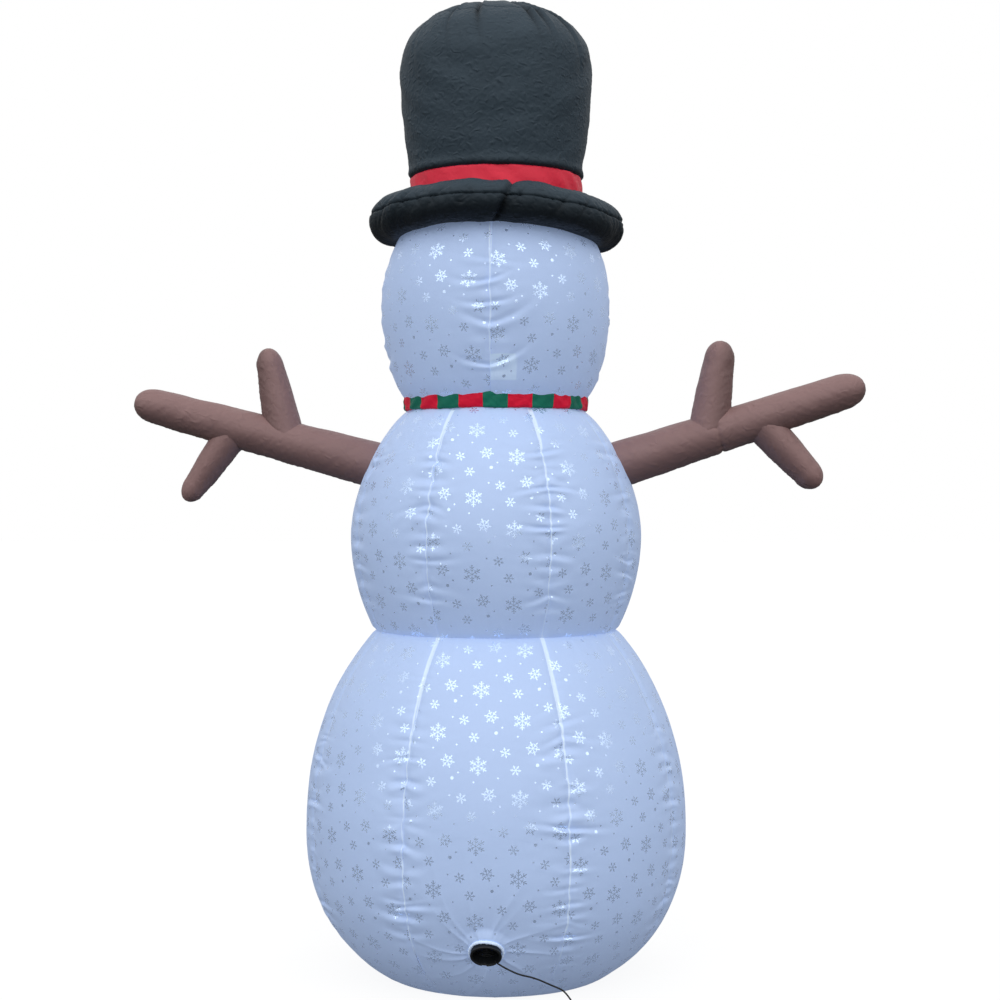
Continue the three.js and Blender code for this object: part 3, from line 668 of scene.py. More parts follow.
# ------------------------------------------------------------------ the hat
BRIM = dict(radius=0.407, tube=0.073, height=2.845, drop=0.016, roll=0.026)
SEAM_TURN = math.radians(12)  # how far above its widest line the brim's two panels are sewn
CROWN = dict(foot=0.324, waist=0.366, waist_height=3.415, top=3.660)
CROWN_SEAM = math.radians(47)
BACK_JOINT = math.radians(97.7)


def brim_lift(x, y):
    return BRIM["drop"] * np.cos(2 * np.arctan2(x, y)) + BRIM["roll"] * x


def brim_panel(name, start, end, rows, node):
    section = np.linspace(start, end, rows)
    turn = np.linspace(0, math.tau, 520, endpoint=False)
    s, a = np.meshgrid(section, turn, indexing="ij")
    from_seam = s - SEAM_TURN
    pinch = creases(a + 0.10 * from_seam, 5, 56, 0.012, math.tau)
    pinch_wide = creases(a - 0.14 * from_seam, 8, 19, 0.026, math.tau)
    puff = -0.012 * pinch * np.exp(-np.abs(from_seam) / 0.26)
    puff += -0.014 * pinch_wide * np.exp(-np.abs(from_seam) / 0.65)
    round_x, round_y = 0.41 * np.cos(a) + 0.3 * s * 0.07, 0.41 * np.sin(a) - 1.2 * s * 0.07
    puff += -0.006 * np.exp(-((from_seam / 0.06) ** 2))
    puff += 0.006 * ripple(round_x, round_y, 15, 6) + 0.0026 * crumple(round_x, round_y, 16, 16)
    joint = ((a - BACK_JOINT - 0.05 * from_seam + math.pi) % (math.tau) - math.pi) * BRIM["radius"]
    seen = smooth(-1.7, -1.2, s)
    puff += (-0.015 * np.exp(-np.abs(joint) / 0.006) - 0.009 * np.exp(-((joint / 0.03) ** 2))) * seen
    puff += 0.006 * np.exp(-(((joint + 0.018) / 0.01) ** 2)) * seen
    tube = BRIM["tube"] + 0.002 + puff * smooth(-2.1, -1.5, s)
    r = BRIM["radius"] + tube * np.cos(s)
    x, y = r * np.cos(a), r * np.sin(a)
    z = BRIM["height"] + tube * np.sin(s) + brim_lift(x, y)
    flat = stack(a * 0.45, s * 0.07)
    points = stack(x, y, z)[:, ::-1]
    # painted shade: the underside is darker, with dark lines along the back joint, the ring seam and the
    # wide pinches
    shade = 0.15 + 0.85 * smooth(-0.65, 0.95, s) - 0.5 * np.exp(-np.abs(joint) / 0.007)
    shade -= 0.35 * np.exp(-np.abs(from_seam) / 0.03)
    shade -= 0.4 * pinch_wide * np.exp(-np.abs(from_seam) / 0.5)
    attributes = {"flat": flat[:, ::-1], "shade": np.clip(shade, 0, 1)[:, ::-1]}
    panel = surface(name, points, HAT, attributes, wrap=True)
    settle(panel, "figure", "hat_fabric", node)


def crown_line(rows, below):
    """Radius, height and distance to the ring seam, along the crown's side or over its top."""
    waist, level, rise = CROWN["waist"], CROWN["waist_height"], CROWN["top"] - CROWN["waist_height"]
    turned = np.linspace(0, CROWN_SEAM, rows // 2) if below else np.linspace(CROWN_SEAM, math.pi / 2, rows)
    r = np.maximum(waist * np.cos(turned) ** (2 / 2.6), 0.002)
    z = level + rise * np.sin(turned) ** (2 / 2.1)
    if below:
        side = np.linspace(3.006, level, rows - len(turned), endpoint=False)
        widening = (waist - CROWN["foot"]) * np.sin((side - 3.005) / (level - 3.005) * math.pi / 2)
        r, z = np.concatenate([CROWN["foot"] + widening, r]), np.concatenate([side, z])
    run = np.concatenate([[0], np.cumsum(np.hypot(np.diff(r), np.diff(z)))])
    return r, z, run[-1] - run if below else run


def crown_panel(name, node, rows, below):
    line_r, line_z, gap = crown_line(rows, below)
    turn = np.linspace(0, math.tau, 480, endpoint=False)
    _, a = np.meshgrid(line_r, turn, indexing="ij")
    r, z, gap = (np.repeat(x[:, None], len(turn), axis=1) for x in (line_r, line_z, gap))
    lean = 1 if below else -1
    folds = creases(a + 0.25 * gap * lean, 17, 34, 0.012, math.tau)
    deep = creases(a - 0.40 * gap * lean, 29, 15, 0.030, math.tau)
    shape = -0.008 * folds * np.exp(-gap / 0.035) - 0.030 * deep * np.exp(-((gap / 0.12) ** 1.3))
    shape += 0.013 * np.roll(deep, 5, axis=1) * np.exp(-((gap / 0.12) ** 1.3))
    shape += -0.005 * np.exp(-gap / 0.005)
    round_x, round_y = 0.36 * np.cos(a) + 0.3 * gap, 0.36 * np.sin(a) - 1.5 * gap
    shape += 0.003 * ripple(round_x, round_y, 19, 5) + 0.0017 * crumple(round_x, round_y, 63, 19)
    if below:
        up = z - 3.006
        bottom = creases(a, 41, 70, 0.009, math.tau)
        shape += 0.008 * np.exp(-((up - 0.014) ** 2) / 0.0004) - 0.006 * bottom * np.exp(-up / 0.03)
        shape += -0.010 * np.exp(-up / 0.004)
        z = z - 0.005 * bottom * np.exp(-up / 0.010)
    tilt = np.clip((line_z - CROWN["waist_height"]) / (CROWN["top"] - CROWN["waist_height"]), 0, 1)[:, None]
    level = smooth(0, 0.12, r)  # the very middle of the top stays whole
    out = r + shape * (1 - tilt) * level
    points = stack(out * np.cos(a), out * np.sin(a), z + shape * tilt * level)
    flat = stack(a * 0.36, gap)
    if not below:
        flat = stack(r * np.cos(a), r * np.sin(a))
    # painted shade: darker in the deep folds, at the ring seam, and at the foot where the crown overhangs
    # the band
    shade = 1 - deep * np.exp(-((gap / 0.10) ** 1.6)) - 0.3 * np.exp(-gap / 0.004)
    if below:
        shade -= 0.6 * np.exp(-np.clip(up - 0.008, 0, 1) / 0.012)
    attributes = {"flat": flat, "shade": np.clip(shade, 0, 1) + 0 * a}
    panel = surface(name, points, HAT, attributes, wrap=True)
    settle(panel, "figure", "hat_fabric", node)


def hat_ribbon():
    rows, cols = 40, 300
    z, a = ring_grid(2.828, 3.0065, rows, cols)
    up = 3.0065 - z
    r = 0.3265 + 0.003 * ripple(a * 0.33, z, 71, 9) + 0.0025 * np.sin(np.clip(up / 0.1, 0, 1) * math.pi)
    r -= 0.004 * creases(a, 41, 60, 0.008, math.tau) * np.exp(-up / 0.012)
    r += 0.022 * (1 - smooth(2.835, 2.868, z)) - 0.003 * np.exp(-up / 0.003)
    points = stack(r * np.cos(a), r * np.sin(a), z)
    flat = stack(a * 0.33, z)
    ribbon = surface("hat_ribbon", points, BAND, {"flat": flat}, wrap=True)
    settle(ribbon, "figure", "band_fabric", "hat_band")


brim_panel("brim_under", math.radians(-118), SEAM_TURN, 64, "brim_lower_panel")
brim_panel("brim_over", SEAM_TURN, math.radians(168), 60, "brim_upper_panel")
crown_panel("hat_side", "crown_side", 130, True)
crown_panel("hat_top", "crown_top", 60, False)
hat_ribbon()

# ------------------------------------------------------------------ the scarf
SCARF_SHIFT = math.radians(-2.6)


def scarf_ring():
    rows, cols = 34, 520
    s, a = ring_grid(-1, 1, rows, cols)
    fullness = np.sqrt(np.clip(1 - s**8, 0, 1))
    folds = creases(a + 0.10 * s, 91, 52, 0.022, math.tau) - 0.6
    round_x, round_y = 0.35 * np.cos(a) + 0.04 * s, 0.35 * np.sin(a) - 0.03 * s
    waves = ripple(round_x, round_y, 92, 14, 7)
    r = 0.3385 + 0.0125 * fullness + 0.0022 * folds * fullness + 0.0030 * waves * fullness
    sway = ripple(0.35 * np.cos(a), 0.35 * np.sin(a), 93, 4)
    z = 2.1485 + 0.0315 * s + 0.0035 * sway - 0.003 * folds * (s < 0) * (s**2)
    x = (a - math.pi / 2 + SCARF_SHIFT) * 0.353 + SCARF_BLOCK / 2
    flat = stack(x, z)
    points = stack(r * np.cos(a), r * np.sin(a), z)
    ring = surface("scarf_ring", points, SCARF, {"flat": flat}, wrap=True)
    settle(ring, "figure", "scarf_fabric", "scarf_band")


def scarf_tail(name, node, middle, top, bottom, width, lift, seed):
    rows, cols = 110, 34
    middle = math.radians(middle)
    t, u = np.meshgrid(np.linspace(0, 1, rows), np.linspace(-1, 1, cols), indexing="ij")
    z = top + (bottom - top) * t
    neck = 0.45 + 0.55 * smooth(0.0, 0.16, t)
    base = ball_radius(MIDDLE, np.clip(z, 1.3, 2.12))
    hang = base + lift + 0.006 * np.cos(u * 6 + 5 * t + seed) * (1 - 0.6 * t) + 0.004 * np.sin(9 * t + seed)
    angle = middle + u * neck * width / 2 / base + 0.012 * np.sin(4 * t + seed)
    r = np.maximum(hang, base + 0.012)
    points = stack(r * np.cos(angle), r * np.sin(angle), z)
    flat = stack(t * (top - bottom) * 1.06 + 0.02, u * width / 2)
    tail = surface(name, points[:, ::-1], SCARF, {"flat": flat[:, ::-1]})
    settle(tail, "figure", "scarf_fabric", node)
    return tail


def scarf_tie():
    rows, cols = 48, 72
    s, a = np.meshgrid(
        np.linspace(-math.pi / 2 + 0.01, math.pi / 2 - 0.01, rows),
        np.linspace(0, math.tau, cols, endpoint=False),
        indexing="ij",
    )
    swell = 1 + 0.05 * np.sin(3 * a + 1) - 0.10 * creases(a, 33, 7, 0.12, math.tau) * np.cos(s)
    x = 0.060 * swell * np.cos(s) * np.cos(a)
    y = 0.0325 * swell * np.cos(s) * np.sin(a)
    z = 0.049 * (0.85 + 0.15 * swell) * np.sin(s)
    points = stack(x + 0.024, y - 0.3975, z + 2.143)
    flat = stack(x + 0.03, z)
    knot = surface("scarf_tie", points, SCARF, {"flat": flat}, wrap=True)
    settle(knot, "figure", "scarf_fabric", "scarf_knot")


scarf_ring()
scarf_tie()
long_tail = scarf_tail("scarf_end_long", "scarf_tail_long", -83, 2.100, 1.560, 0.122, 0.013, 1.0)
short_tail = scarf_tail("scarf_end_short", "scarf_tail_short", -94, 2.100, 1.690, 0.122, 0.024, 2.4)


# ------------------------------------------------------------------ nose, eyes, mouth and buttons
def carrot():
    rows, cols = 80, 48
    t, a = ring_grid(0, 1, rows, cols)
    reach = 0.262 * t
    r = 0.053 * (1 - t) ** 0.82 + 0.0095 * np.sqrt(np.clip(1 - t**6, 0, 1)) * t
    r -= 0.0016 * creases(t + 0.03 * np.sin(a), 6, 9, 0.012, 1.0)
    droop = -0.0185 * t
    x, z = r * np.cos(a), r * np.sin(a)
    points = stack(x, -0.4355 - reach, 2.492 + z + droop)
    flat = stack(a * 0.03, reach)
    piece = surface("carrot", points, CARROT, {"flat": flat}, wrap=True)
    settle(piece, "figure", "nose_fabric", "nose")


def sewn_spot(name, ball, angle, height, size, squash=1.0):
    """A round patch of black fabric sewn on a ball's front, with a soft raised edge."""
    rows, cols = 14, 48
    t, a = ring_grid(0.001, 1, rows, cols)
    across, up = size * t * np.cos(a), size * squash * t * np.sin(a)
    z = height + up
    base = ball_radius(ball, z) + 0.0055
    theta = math.radians(angle) + across / base
    r = base + 0.0045 * np.sqrt(np.clip(1 - t**3, 0, 1))
    points = stack(r * np.cos(theta), r * np.sin(theta), z)
    flat = stack(across, up)
    patch = surface(name, points, COAL, {"flat": flat}, wrap=True)
    settle(patch, "figure", "hat_fabric")


def face_and_buttons():
    for side in (-1, 1):
        sewn_spot(f"eye_{'a' if side < 0 else 'b'}", HEAD, -90 + 19 * side, 2.600, 0.036, 1.15)
    for i in range(5):
        bend = (i - 2) / 2
        sewn_spot(f"mouth_{i + 1}", HEAD, -90 + 21 * bend, 2.335 + 0.052 * bend**2, 0.021)
    for i, height in enumerate((1.46, 1.62, 1.78)):
        sewn_spot(f"button_{i + 1}", MIDDLE, -104, height, 0.036)


carrot()
face_and_buttons()

# ------------------------------------------------------------------ the arms
HALF_SPAN = 1.400
ARM_TILT = dict(left=14.9, right=18.0)
ARM_LENGTH = {k: (HALF_SPAN - SHOULDER[0]) / math.cos(math.radians(v)) for k, v in ARM_TILT.items()}
UPPER_TWIG = dict(at=0.343, angle=63.3, length=0.366, root=0.074, end=0.050, cap=0.062)
LOWER_TWIG = dict(at=0.543, angle=-69.5, length=0.343, root=0.066, end=0.044, cap=0.056)


def arm_frame(side):
    turn = Matrix.Rotation(math.pi, 4, "Z") if side == "right" else Matrix.Identity(4)
    return (
        turn
        @ Matrix.Translation(SHOULDER)
        @ Matrix.Rotation(-math.radians(ARM_TILT[side]), 4, "Y")
    )


def sausage(name, radius_at, start, length, seed, ring=None, rows=150, cols=96):
    """A sewn tube along +X, closed by a rounded end, with crinkles along its lower seam."""
    t, a = np.meshgrid(
        np.linspace(0, 1, rows), np.linspace(-math.pi / 2, 3 * math.pi / 2, cols, endpoint=False),
        indexing="ij",
    )
    t = t ** 0.9
    s = start + (length - start) * t
    r = radius_at(s)
    under = 0.5 - 0.5 * np.sin(a)
    round_x, round_y = s + 0.07 * np.sin(a), 0.10 * np.cos(a)
    shape = 0.0012 * ripple(round_x, round_y, seed, 9)
    shape += (0.0008 + 0.0020 * under) * crumple(round_x, round_y, seed + 1, 17, 1.6)
    seam = np.abs((a + math.pi / 2 + math.pi) % (math.tau) - math.pi) * r
    shape -= 0.0018 * creases(s, seed + 2, 26, 0.007, 1.2) * np.exp(-seam / 0.05)
    tip = np.clip((length - s) / 0.03, 0, 1)
    if ring is not None:
        gap = np.abs(s - ring)
        shape -= 0.006 * np.exp(-gap / 0.005) * (1 + 0.8 * creases(a, seed + 3, 12, 0.06, math.tau))
        shape -= 0.006 * creases(a, seed + 4, 9, 0.07, math.tau) * np.exp(-gap / 0.035)
    r = r + shape * tip
    points = stack(s, r * np.cos(a), r * np.sin(a))
    flat = stack(s, a * 0.07)
    # painted shade: the underside of each sleeve and twig is darker
    shade = 0.62 + 0.38 * smooth(-0.75, 0.35, np.sin(a))
    return surface(name, points, BARK, {"flat": flat, "shade": shade}, wrap=True)


def rounded(root, end, length, cap, bulge=0.0):
    def radius_at(s):
        body = root + (end - root) * np.clip(s / (length - cap), 0, 1)
        body = body + bulge * np.sin(math.pi * np.clip(s / length, 0, 1))
        past = np.clip((s - (length - cap)) / cap, 0, 1)
        return np.maximum(body * np.sqrt(np.clip(1 - past**2.3, 0, 1)), 0.0006)

    return radius_at


def twig_piece(name, shape, seed, arm_radius):
    radius_at = rounded(shape["root"], shape["end"], shape["length"], shape["cap"] + 0.02, 0.004)
    piece = sausage(name, radius_at, 0.0, shape["length"], seed, None, 90, 72)
    turn = Matrix.Translation((shape["at"], 0, 0)) @ Matrix.Rotation(-math.radians(shape["angle"]), 4, "Y")
    piece.data.transform(turn)
    # what lies more than 6 mm inside the sleeve is cut away, so the twig starts just under the sleeve's skin
    mesh = bmesh.new()
    mesh.from_mesh(piece.data)
    inside = [v for v in mesh.verts if math.hypot(v.co.y, v.co.z) < arm_radius(v.co.x) - 0.006]
    bmesh.ops.delete(mesh, geom=inside, context="VERTS")
    mesh.to_mesh(piece.data)
    mesh.free()
    return piece


def arm(side, seed):
    length = ARM_LENGTH[side]
    body = f"{side}_branch"
    radius_at = rounded(0.0875, 0.0675, length, 0.105)
    sleeve = sausage(f"{side}_sleeve", radius_at, -0.025, length, seed, 0.381 if side == "right" else None)
    sleeve.data.transform(arm_frame(side))
    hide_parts(f"{side}_arm")
    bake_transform(sleeve)

    def arm_radius(x):
        return float(radius_at(np.array(x)))

    shapes = (("upper", UPPER_TWIG), ("lower", LOWER_TWIG))
    if side == "right":  # its twigs are blown a little fuller, and the lower one stands further out
        shapes = (
            ("upper", {**UPPER_TWIG, "root": 0.077, "end": 0.055}),
            ("lower", {**LOWER_TWIG, "angle": -65.5, "root": 0.069, "end": 0.053}),
        )
    for word, shape in shapes:
        piece = twig_piece(f"{side}_{word}_sprig", shape, seed + 20 + len(word), arm_radius)
        piece.data.transform(arm_frame(side))
        settle(piece, body, "bark_fabric", f"{side}_{word}_twig")


arm("left", 120)
arm("right", 160)


# ------------------------------------------------------------------ the blower
def collar():
    bore, wall, mouth = 0.048, 0.005, 0.032
    notch_turn = math.radians(134)

    def wobble(radius, height, turn):
        gap = np.abs((turn - notch_turn + math.pi) % (math.tau) - math.pi) * 0.05
        depth = 0.0085 * (1 - smooth(0.0042, 0.0056, gap))
        nick = np.abs((turn - math.radians(82) + math.pi) % (math.tau) - math.pi) * 0.05
        depth = depth + 0.0035 * (1 - smooth(0.006, 0.009, nick))
        top = smooth(0.021, 0.027, height)
        return radius, height - depth * top

    profile = [
        (bore, -0.032), (bore + 0.015, -0.032), (bore + 0.015, -0.028), (bore + wall + 0.0008, -0.028),
        (bore + wall, -0.027), (bore + wall, 0.0262), (bore + wall + 0.0005, 0.0268),
        (bore + wall + 0.0019, 0.0272), (bore + wall + 0.0022, 0.0282), (bore + wall + 0.0022, 0.0308),
        (bore + wall + 0.0015, 0.0318), (bore + wall, 0.0322), (bore + 0.001, 0.0322), (bore, 0.0315),
        (bore - 0.0004, 0.028), (bore - 0.0004, 0.0),
    ]
    ring = lathe("inlet_collar", profile, PLASTIC, BLOWER_TURN, 220, wobble, close=True)
    settle(ring, "figure", "black_plastic", "blower_collar")


def grille():
    tools = []
    for radius in (0.0455, 0.036, 0.026, 0.016, 0.007):
        circle = [(radius - 0.0009, -0.0058), (radius + 0.0009, -0.0058), (radius + 0.0009, -0.0032),
                  (radius - 0.0009, -0.0032)]
        tools.append(lathe(f"hoop_{radius:.4f}", circle, PLASTIC, None, 72, None, close=True))
    for i in range(6):
        bm = bmesh.new()
        bmesh.ops.create_cube(bm, size=1.0)
        bmesh.ops.scale(bm, verts=bm.verts, vec=(0.0395, 0.0018, 0.0022))
        bmesh.ops.translate(bm, verts=bm.verts, vec=(0.0265, 0, -0.0045))
        bmesh.ops.rotate(bm, verts=bm.verts, cent=(0, 0, 0), matrix=Matrix.Rotation(i * math.pi / 3, 3, "Z"))
        bmesh.ops.bevel(bm, geom=bm.edges[:], offset=0.0004, segments=2, affect="EDGES")
        mesh = bpy.data.meshes.new(f"spoke_{i}")
        bm.to_mesh(mesh)
        bm.free()
        mesh.materials.append(PLASTIC)
        spoke = bpy.data.objects.new(f"spoke_{i}", mesh)
        bpy.context.scene.collection.objects.link(spoke)
        tools.append(spoke)
    piece = joined("inlet_guard", tools)
    piece.data.transform(BLOWER_TURN)
    settle(piece, "figure", "black_plastic", "inlet_grille")


def joined(name, objects):
    """One mesh from several, which are removed."""
    whole = bmesh.new()
    material = objects[0].data.materials[0]
    for o in objects:
        whole.from_mesh(o.data)
        mesh = o.data
        bpy.data.objects.remove(o)
        bpy.data.meshes.remove(mesh)
    mesh = bpy.data.meshes.new(name)
    whole.to_mesh(mesh)
    whole.free()
    mesh.materials.append(material)
    mesh.polygons.foreach_set("use_smooth", [True] * len(mesh.polygons))
    piece = bpy.data.objects.new(name, mesh)
    bpy.context.scene.collection.objects.link(piece)
    return piece


def cuff():
    """The gathered fabric rim that is drawn tight round the collar."""
    rows, cols = 22, 200
    s, a = np.meshgrid(
        np.linspace(0, math.tau, rows, endpoint=True),
        np.linspace(0, math.tau, cols, endpoint=False),
        indexing="ij",
    )
    folds = creases(a, 55, 34, 0.05, math.tau)
    thick = 0.0056 * (1 - 0.40 * folds)
    r = 0.0590 + thick * np.cos(s) + 0.0006 * np.sin(5 * a)
    z = 0.0120 + 1.20 * thick * np.sin(s) + 0.0014 * np.sin(3 * a + 1)
    points = stack(r * np.cos(a), r * np.sin(a), z)
    flat = stack(a * 0.06 + 9, s * 0.005)
    zero = np.zeros_like(a)
    attributes = {"flat": flat, "seam": zero, "gather": zero, "tape": zero + 0.01, "patch": zero}
    piece = surface("inlet_hem", points, SNOW, attributes, wrap=True)
    piece.data.transform(BLOWER_TURN)
    settle(piece, "figure", "snow_fabric", "inlet_cuff")


def softened(node, name, material, slot, width, body="figure"):
    """A CAD node's own shape with its edges rounded."""
    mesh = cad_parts[node].data.copy()
    mesh.name = name
    bm = bmesh.new()
    bm.from_mesh(mesh)
    bmesh.ops.remove_doubles(bm, verts=bm.verts, dist=1e-5)
    bmesh.ops.dissolve_limit(bm, angle_limit=math.radians(1), verts=bm.verts, edges=bm.edges)
    sharp = [e for e in bm.edges if len(e.link_faces) == 2 and e.calc_face_angle(0) > math.radians(35)]
    bmesh.ops.bevel(bm, geom=sharp, offset=width, segments=2, affect="EDGES", clamp_overlap=True)
    bm.to_mesh(mesh)
    bm.free()
    mesh.materials.clear()
    mesh.materials.append(material)
    for polygon in mesh.polygons:
        polygon.use_smooth = False
    piece = bpy.data.objects.new(name, mesh)
    bpy.context.scene.collection.objects.link(piece)
    return settle(piece, body, slot, node)


def paint(node, material):
    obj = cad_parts[node]
    obj.data.materials.clear()
    obj.data.materials.append(material)


collar()
grille()
cuff()
softened("blower_housing", "fan_housing", PLASTIC, "black_plastic", 0.0008)
softened("motor_mount", "fan_mount", PLASTIC, "black_plastic", 0.0005)
softened("motor", "fan_motor", STEEL, "motor_steel", 0.0006)
softened("impeller", "fan_wheel", PLASTIC, "black_plastic", 0.0004, "impeller")
for lamp in ("led_lamp_1", "led_lamp_2", "led_lamp_3"):
    softened(lamp, lamp.replace("led_lamp", "bulb"), LAMP, "lamp_cover", 0.0012)
paint("light_cord", WIRE)


# ------------------------------------------------------------------ the power lead
CORD_ROUTE = [
    (-28, 643, 188), (-35, 641, 181), (-42, 637, 175), (-64, 634, 161), (-106, 627, 139),
    (-133, 622, 131), (-161, 614, 124), (-199, 602, 106), (-237, 592, 86), (-265, 585, 75),
    (-287, 580, 46), (-304, 577, 18), (-324, 577, 4.5), (-346, 584, 3.3), (-363, 604, 3.3),
    (-370, 626, 3.3),
]
COIL_AT = (-318, 646)


def coil_points():
    """Eleven turns in three layers: in along the ground, out above it, in again, and over to the plug."""
    points = []
    per_turn = 24
    layers = [(45.2, 26.8, 4.0, 3.2), (26.8, 45.2, 4.0, 9.4), (45.2, 28.0, 3.125, 15.6)]
    angle = math.pi
    height = 3.2
    for first, last, turns, level in layers:
        count = int(turns * per_turn)
        for i in range(count):
            share = i / count
            radius = first + (last - first) * share
            height += (level - height) * 0.12
            points.append(
                (COIL_AT[0] + radius * math.cos(angle), COIL_AT[1] + radius * math.sin(angle), height)
            )
            angle -= math.tau / per_turn
    return points, angle


def power_lead():
    coil, angle = coil_points()
    way_out = [
        (-337.2, 668.7, 18.5), (-328.5, 676, 21.3), (-316.5, 681, 22), (-303.5, 684, 22),
        (-292, 686, 18.5), (-283, 687, 13.5), (-274.5, 687.7, 10), (-266.3, 688, 9.2),
    ]
    route = CORD_ROUTE + coil + way_out
    data = bpy.data.curves.new("power_lead", "CURVE")
    data.dimensions = "3D"
    data.bevel_depth = 0.003
    data.bevel_resolution = 5
    spline = data.splines.new("NURBS")
    spline.points.add(len(route) - 1)
    for point, place in zip(spline.points, route):
        point.co = (place[0] / 1000, place[1] / 1000, place[2] / 1000, 1)
    spline.use_endpoint_u = True
    spline.order_u = 4
    spline.resolution_u = 6
    data.use_fill_caps = True
    data.materials.append(RUBBER)
    lead = bpy.data.objects.new("power_lead", data)
    bpy.context.scene.collection.objects.link(lead)
    settle(lead, "figure", "cord_rubber", "power_cord", "cord_coil")
    return lead


def coil_tie():
    """A flat tie round the coil's turns at one place."""
    rows, cols = 5, 40
    s, a = ring_grid(-1, 1, rows, cols)
    half_wide, half_high = 0.0145, 0.0108
    power = 0.45
    x = 0.0358 + half_wide * np.sign(np.cos(a)) * np.abs(np.cos(a)) ** power
    z = 0.0104 + half_high * np.sign(np.sin(a)) * np.abs(np.sin(a)) ** power
    z = np.clip(z, 0.0002, None)
    y = 0.0035 * s
    points = stack(x, y, z)[:, ::-1]
    flat = stack(a * 0.01, y)
    tie = surface("coil_tie", points, WEBBING, {"flat": flat}, wrap=True)
    tie.data.transform(
        Matrix.Translation((COIL_AT[0] / 1000, COIL_AT[1] / 1000, 0))
        @ Matrix.Rotation(math.radians(-100), 4, "Z")
    )
    return settle(tie, "figure", "webbing")


lead = power_lead()
tie = coil_tie()
plug = softened("power_adapter", "plug_adapter", ADAPTER, "adapter_plastic", 0.0018)


# ------------------------------------------------------------------ tie loops and zip
def ground_loop(index, angle):
    """A folded webbing loop, sewn in the base seam, flat on the ground."""
    turn = math.radians(angle)
    a = np.linspace(0, math.tau, 96, endpoint=False)
    s = np.linspace(0, 1, 9)
    s, a = np.meshgrid(s, a, indexing="ij")
    power = 0.5
    outer_x, outer_y = 0.0198, 0.0255
    inner_x, inner_y = 0.0085, 0.0152
    half_x = inner_x + (outer_x - inner_x) * s
    half_y = inner_y + (outer_y - inner_y) * s
    x = 0.4524 + half_x * np.sign(np.cos(a)) * np.abs(np.cos(a)) ** power
    y = half_y * np.sign(np.sin(a)) * np.abs(np.sin(a)) ** power
    z = 0.0006 + 0.0021 * np.sin(math.pi * s) ** 0.5
    points = stack(x, y, z)
    flat = stack(a * 0.02, s * 0.01)
    piece = surface(f"ground_loop_{index}", points[:, ::-1], WEBBING, {"flat": flat[:, ::-1]}, wrap=True)
    piece.data.transform(Matrix.Rotation(turn, 4, "Z"))
    settle(piece, "figure", "webbing", f"tie_loop_{index}")


def zip_strip():
    rows, cols = 150, 25
    angle = np.linspace(-0.6418, -0.1739, rows)
    s, a = np.meshgrid(np.linspace(-1, 1, cols), angle)
    # the middle third stands up as the closed row of teeth
    teeth = np.exp(-((s / 0.13) ** 4)) * (0.75 + 0.25 * np.sign(np.sin(a * 1500)))
    lift = 0.0016 + 0.0006 * teeth + 0.0003 * np.cos(s * math.pi)
    r = ZIP_RADIUS + lift + 0.0006
    radial = ZIP_CENTRE[0] + r * np.cos(a)
    height = ZIP_CENTRE[1] + r * np.sin(a)
    theta = ZIP_TURN + s * 0.015 / radial
    points = stack(radial * np.cos(theta), radial * np.sin(theta), height)
    flat = stack(s * 0.015, a * ZIP_RADIUS)
    strip = surface("zip_strip", points, ZIP_TAPE, {"flat": flat})
    settle(strip, "figure", "zip_tape", "zipper_tape")


for i, angle in enumerate((-10, -60, -120, -170), 1):
    ground_loop(i, angle)
zip_strip()
softened("zipper_slider", "zip_slider", ZIP_METAL, "zip_metal", 0.0007, "zipper_slider")
softened("zipper_pull", "zip_pull", ZIP_METAL, "zip_metal", 0.0003, "zipper_pull")


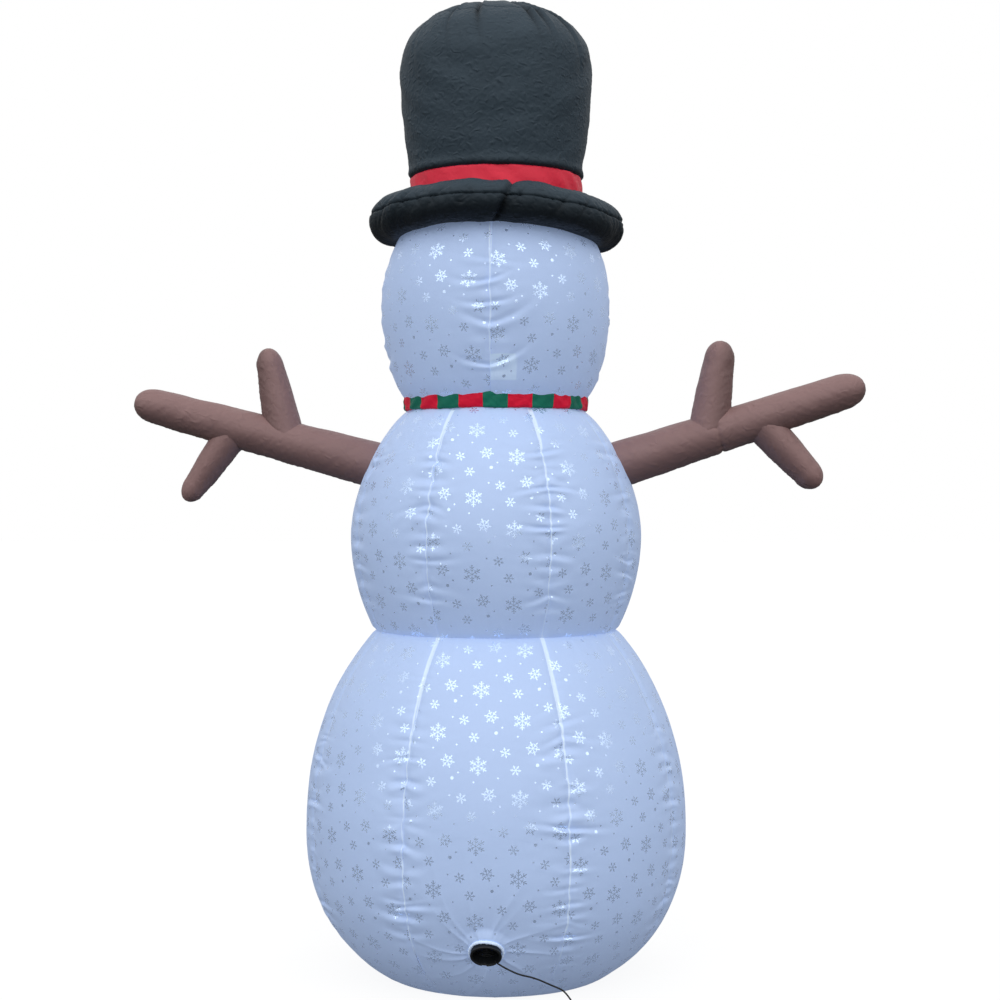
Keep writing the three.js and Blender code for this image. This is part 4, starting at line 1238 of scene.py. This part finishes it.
# ------------------------------------------------------------------ floor and light
def make_floor():
    mesh = bpy.data.meshes.new("floor")
    size = 60
    corners = [(-size, -size, 0), (size, -size, 0), (size, size, 0), (-size, size, 0)]
    mesh.from_pydata(corners, [], [(0, 1, 2, 3)])
    n = Nodes("floor")
    grain = n.noise(n.place(), 3.0, 2)
    colour = n.blend(grain, (0.12, 0.12, 0.12, 1), (0.14, 0.14, 0.14, 1))
    seen = n.tree.nodes.new("ShaderNodeLightPath").outputs["Is Camera Ray"]
    n.put(n.shader.inputs["Emission Strength"], n.math("MULTIPLY", seen, 0.90))
    n.shader.inputs["Emission Color"].default_value = (1, 1, 1, 1)
    mesh.materials.append(n.finish(colour, 0.9, None, None, Specular_IOR_Level=0.0))
    floor = bpy.data.objects.new("floor", mesh)
    floor.location.z = -0.0005
    bpy.context.scene.collection.objects.link(floor)


def make_world():
    """A pale studio: a broad soft light behind the viewer, a weaker one opposite, and white all round."""
    world = bpy.data.worlds.new("studio")
    bpy.context.scene.world = world
    world.use_nodes = True
    tree = world.node_tree
    tree.nodes.clear()
    n = Nodes.__new__(Nodes)
    n.tree = tree
    direction = tree.nodes.new("ShaderNodeTexCoord").outputs["Generated"]
    x, y, z = n.split(direction)
    level = n.math("SQRT", n.math("ADD", n.math("MULTIPLY", x, x), n.math("MULTIPLY", y, y)))
    facing = n.math("DIVIDE", y, n.math("MAXIMUM", level, 0.001))
    above = n.math("MULTIPLY", n.remap(z, -0.02, 0.06), n.remap(z, 0.90, 0.99, 1.0, 0.0))
    key = n.math("MULTIPLY", n.remap(facing, 0.0, 0.35), above)
    back = n.remap(facing, -0.25, -0.6)
    light = n.math("MULTIPLY_ADD", key, 0.84, n.remap(z, -0.12, 0.0, 0.04, 0.14))
    light = n.math("ADD", light, n.remap(z, 0.0, 0.5, 0.0, 0.41))
    light = n.math("MULTIPLY_ADD", back, 0.2, light)
    light = n.math("MULTIPLY_ADD", n.remap(z, 0.72, 0.98), 0.2, light)
    seen = tree.nodes.new("ShaderNodeLightPath").outputs["Is Camera Ray"]
    strength = n.math("ADD", n.math("MULTIPLY", light, n.math("SUBTRACT", 1.0, seen)), seen)
    background = tree.nodes.new("ShaderNodeBackground")
    background.inputs[0].default_value = (1, 1, 1, 1)
    tree.links.new(strength, background.inputs[1])
    out = tree.nodes.new("ShaderNodeOutputWorld")
    tree.links.new(background.outputs[0], out.inputs[0])


make_floor()
make_world()
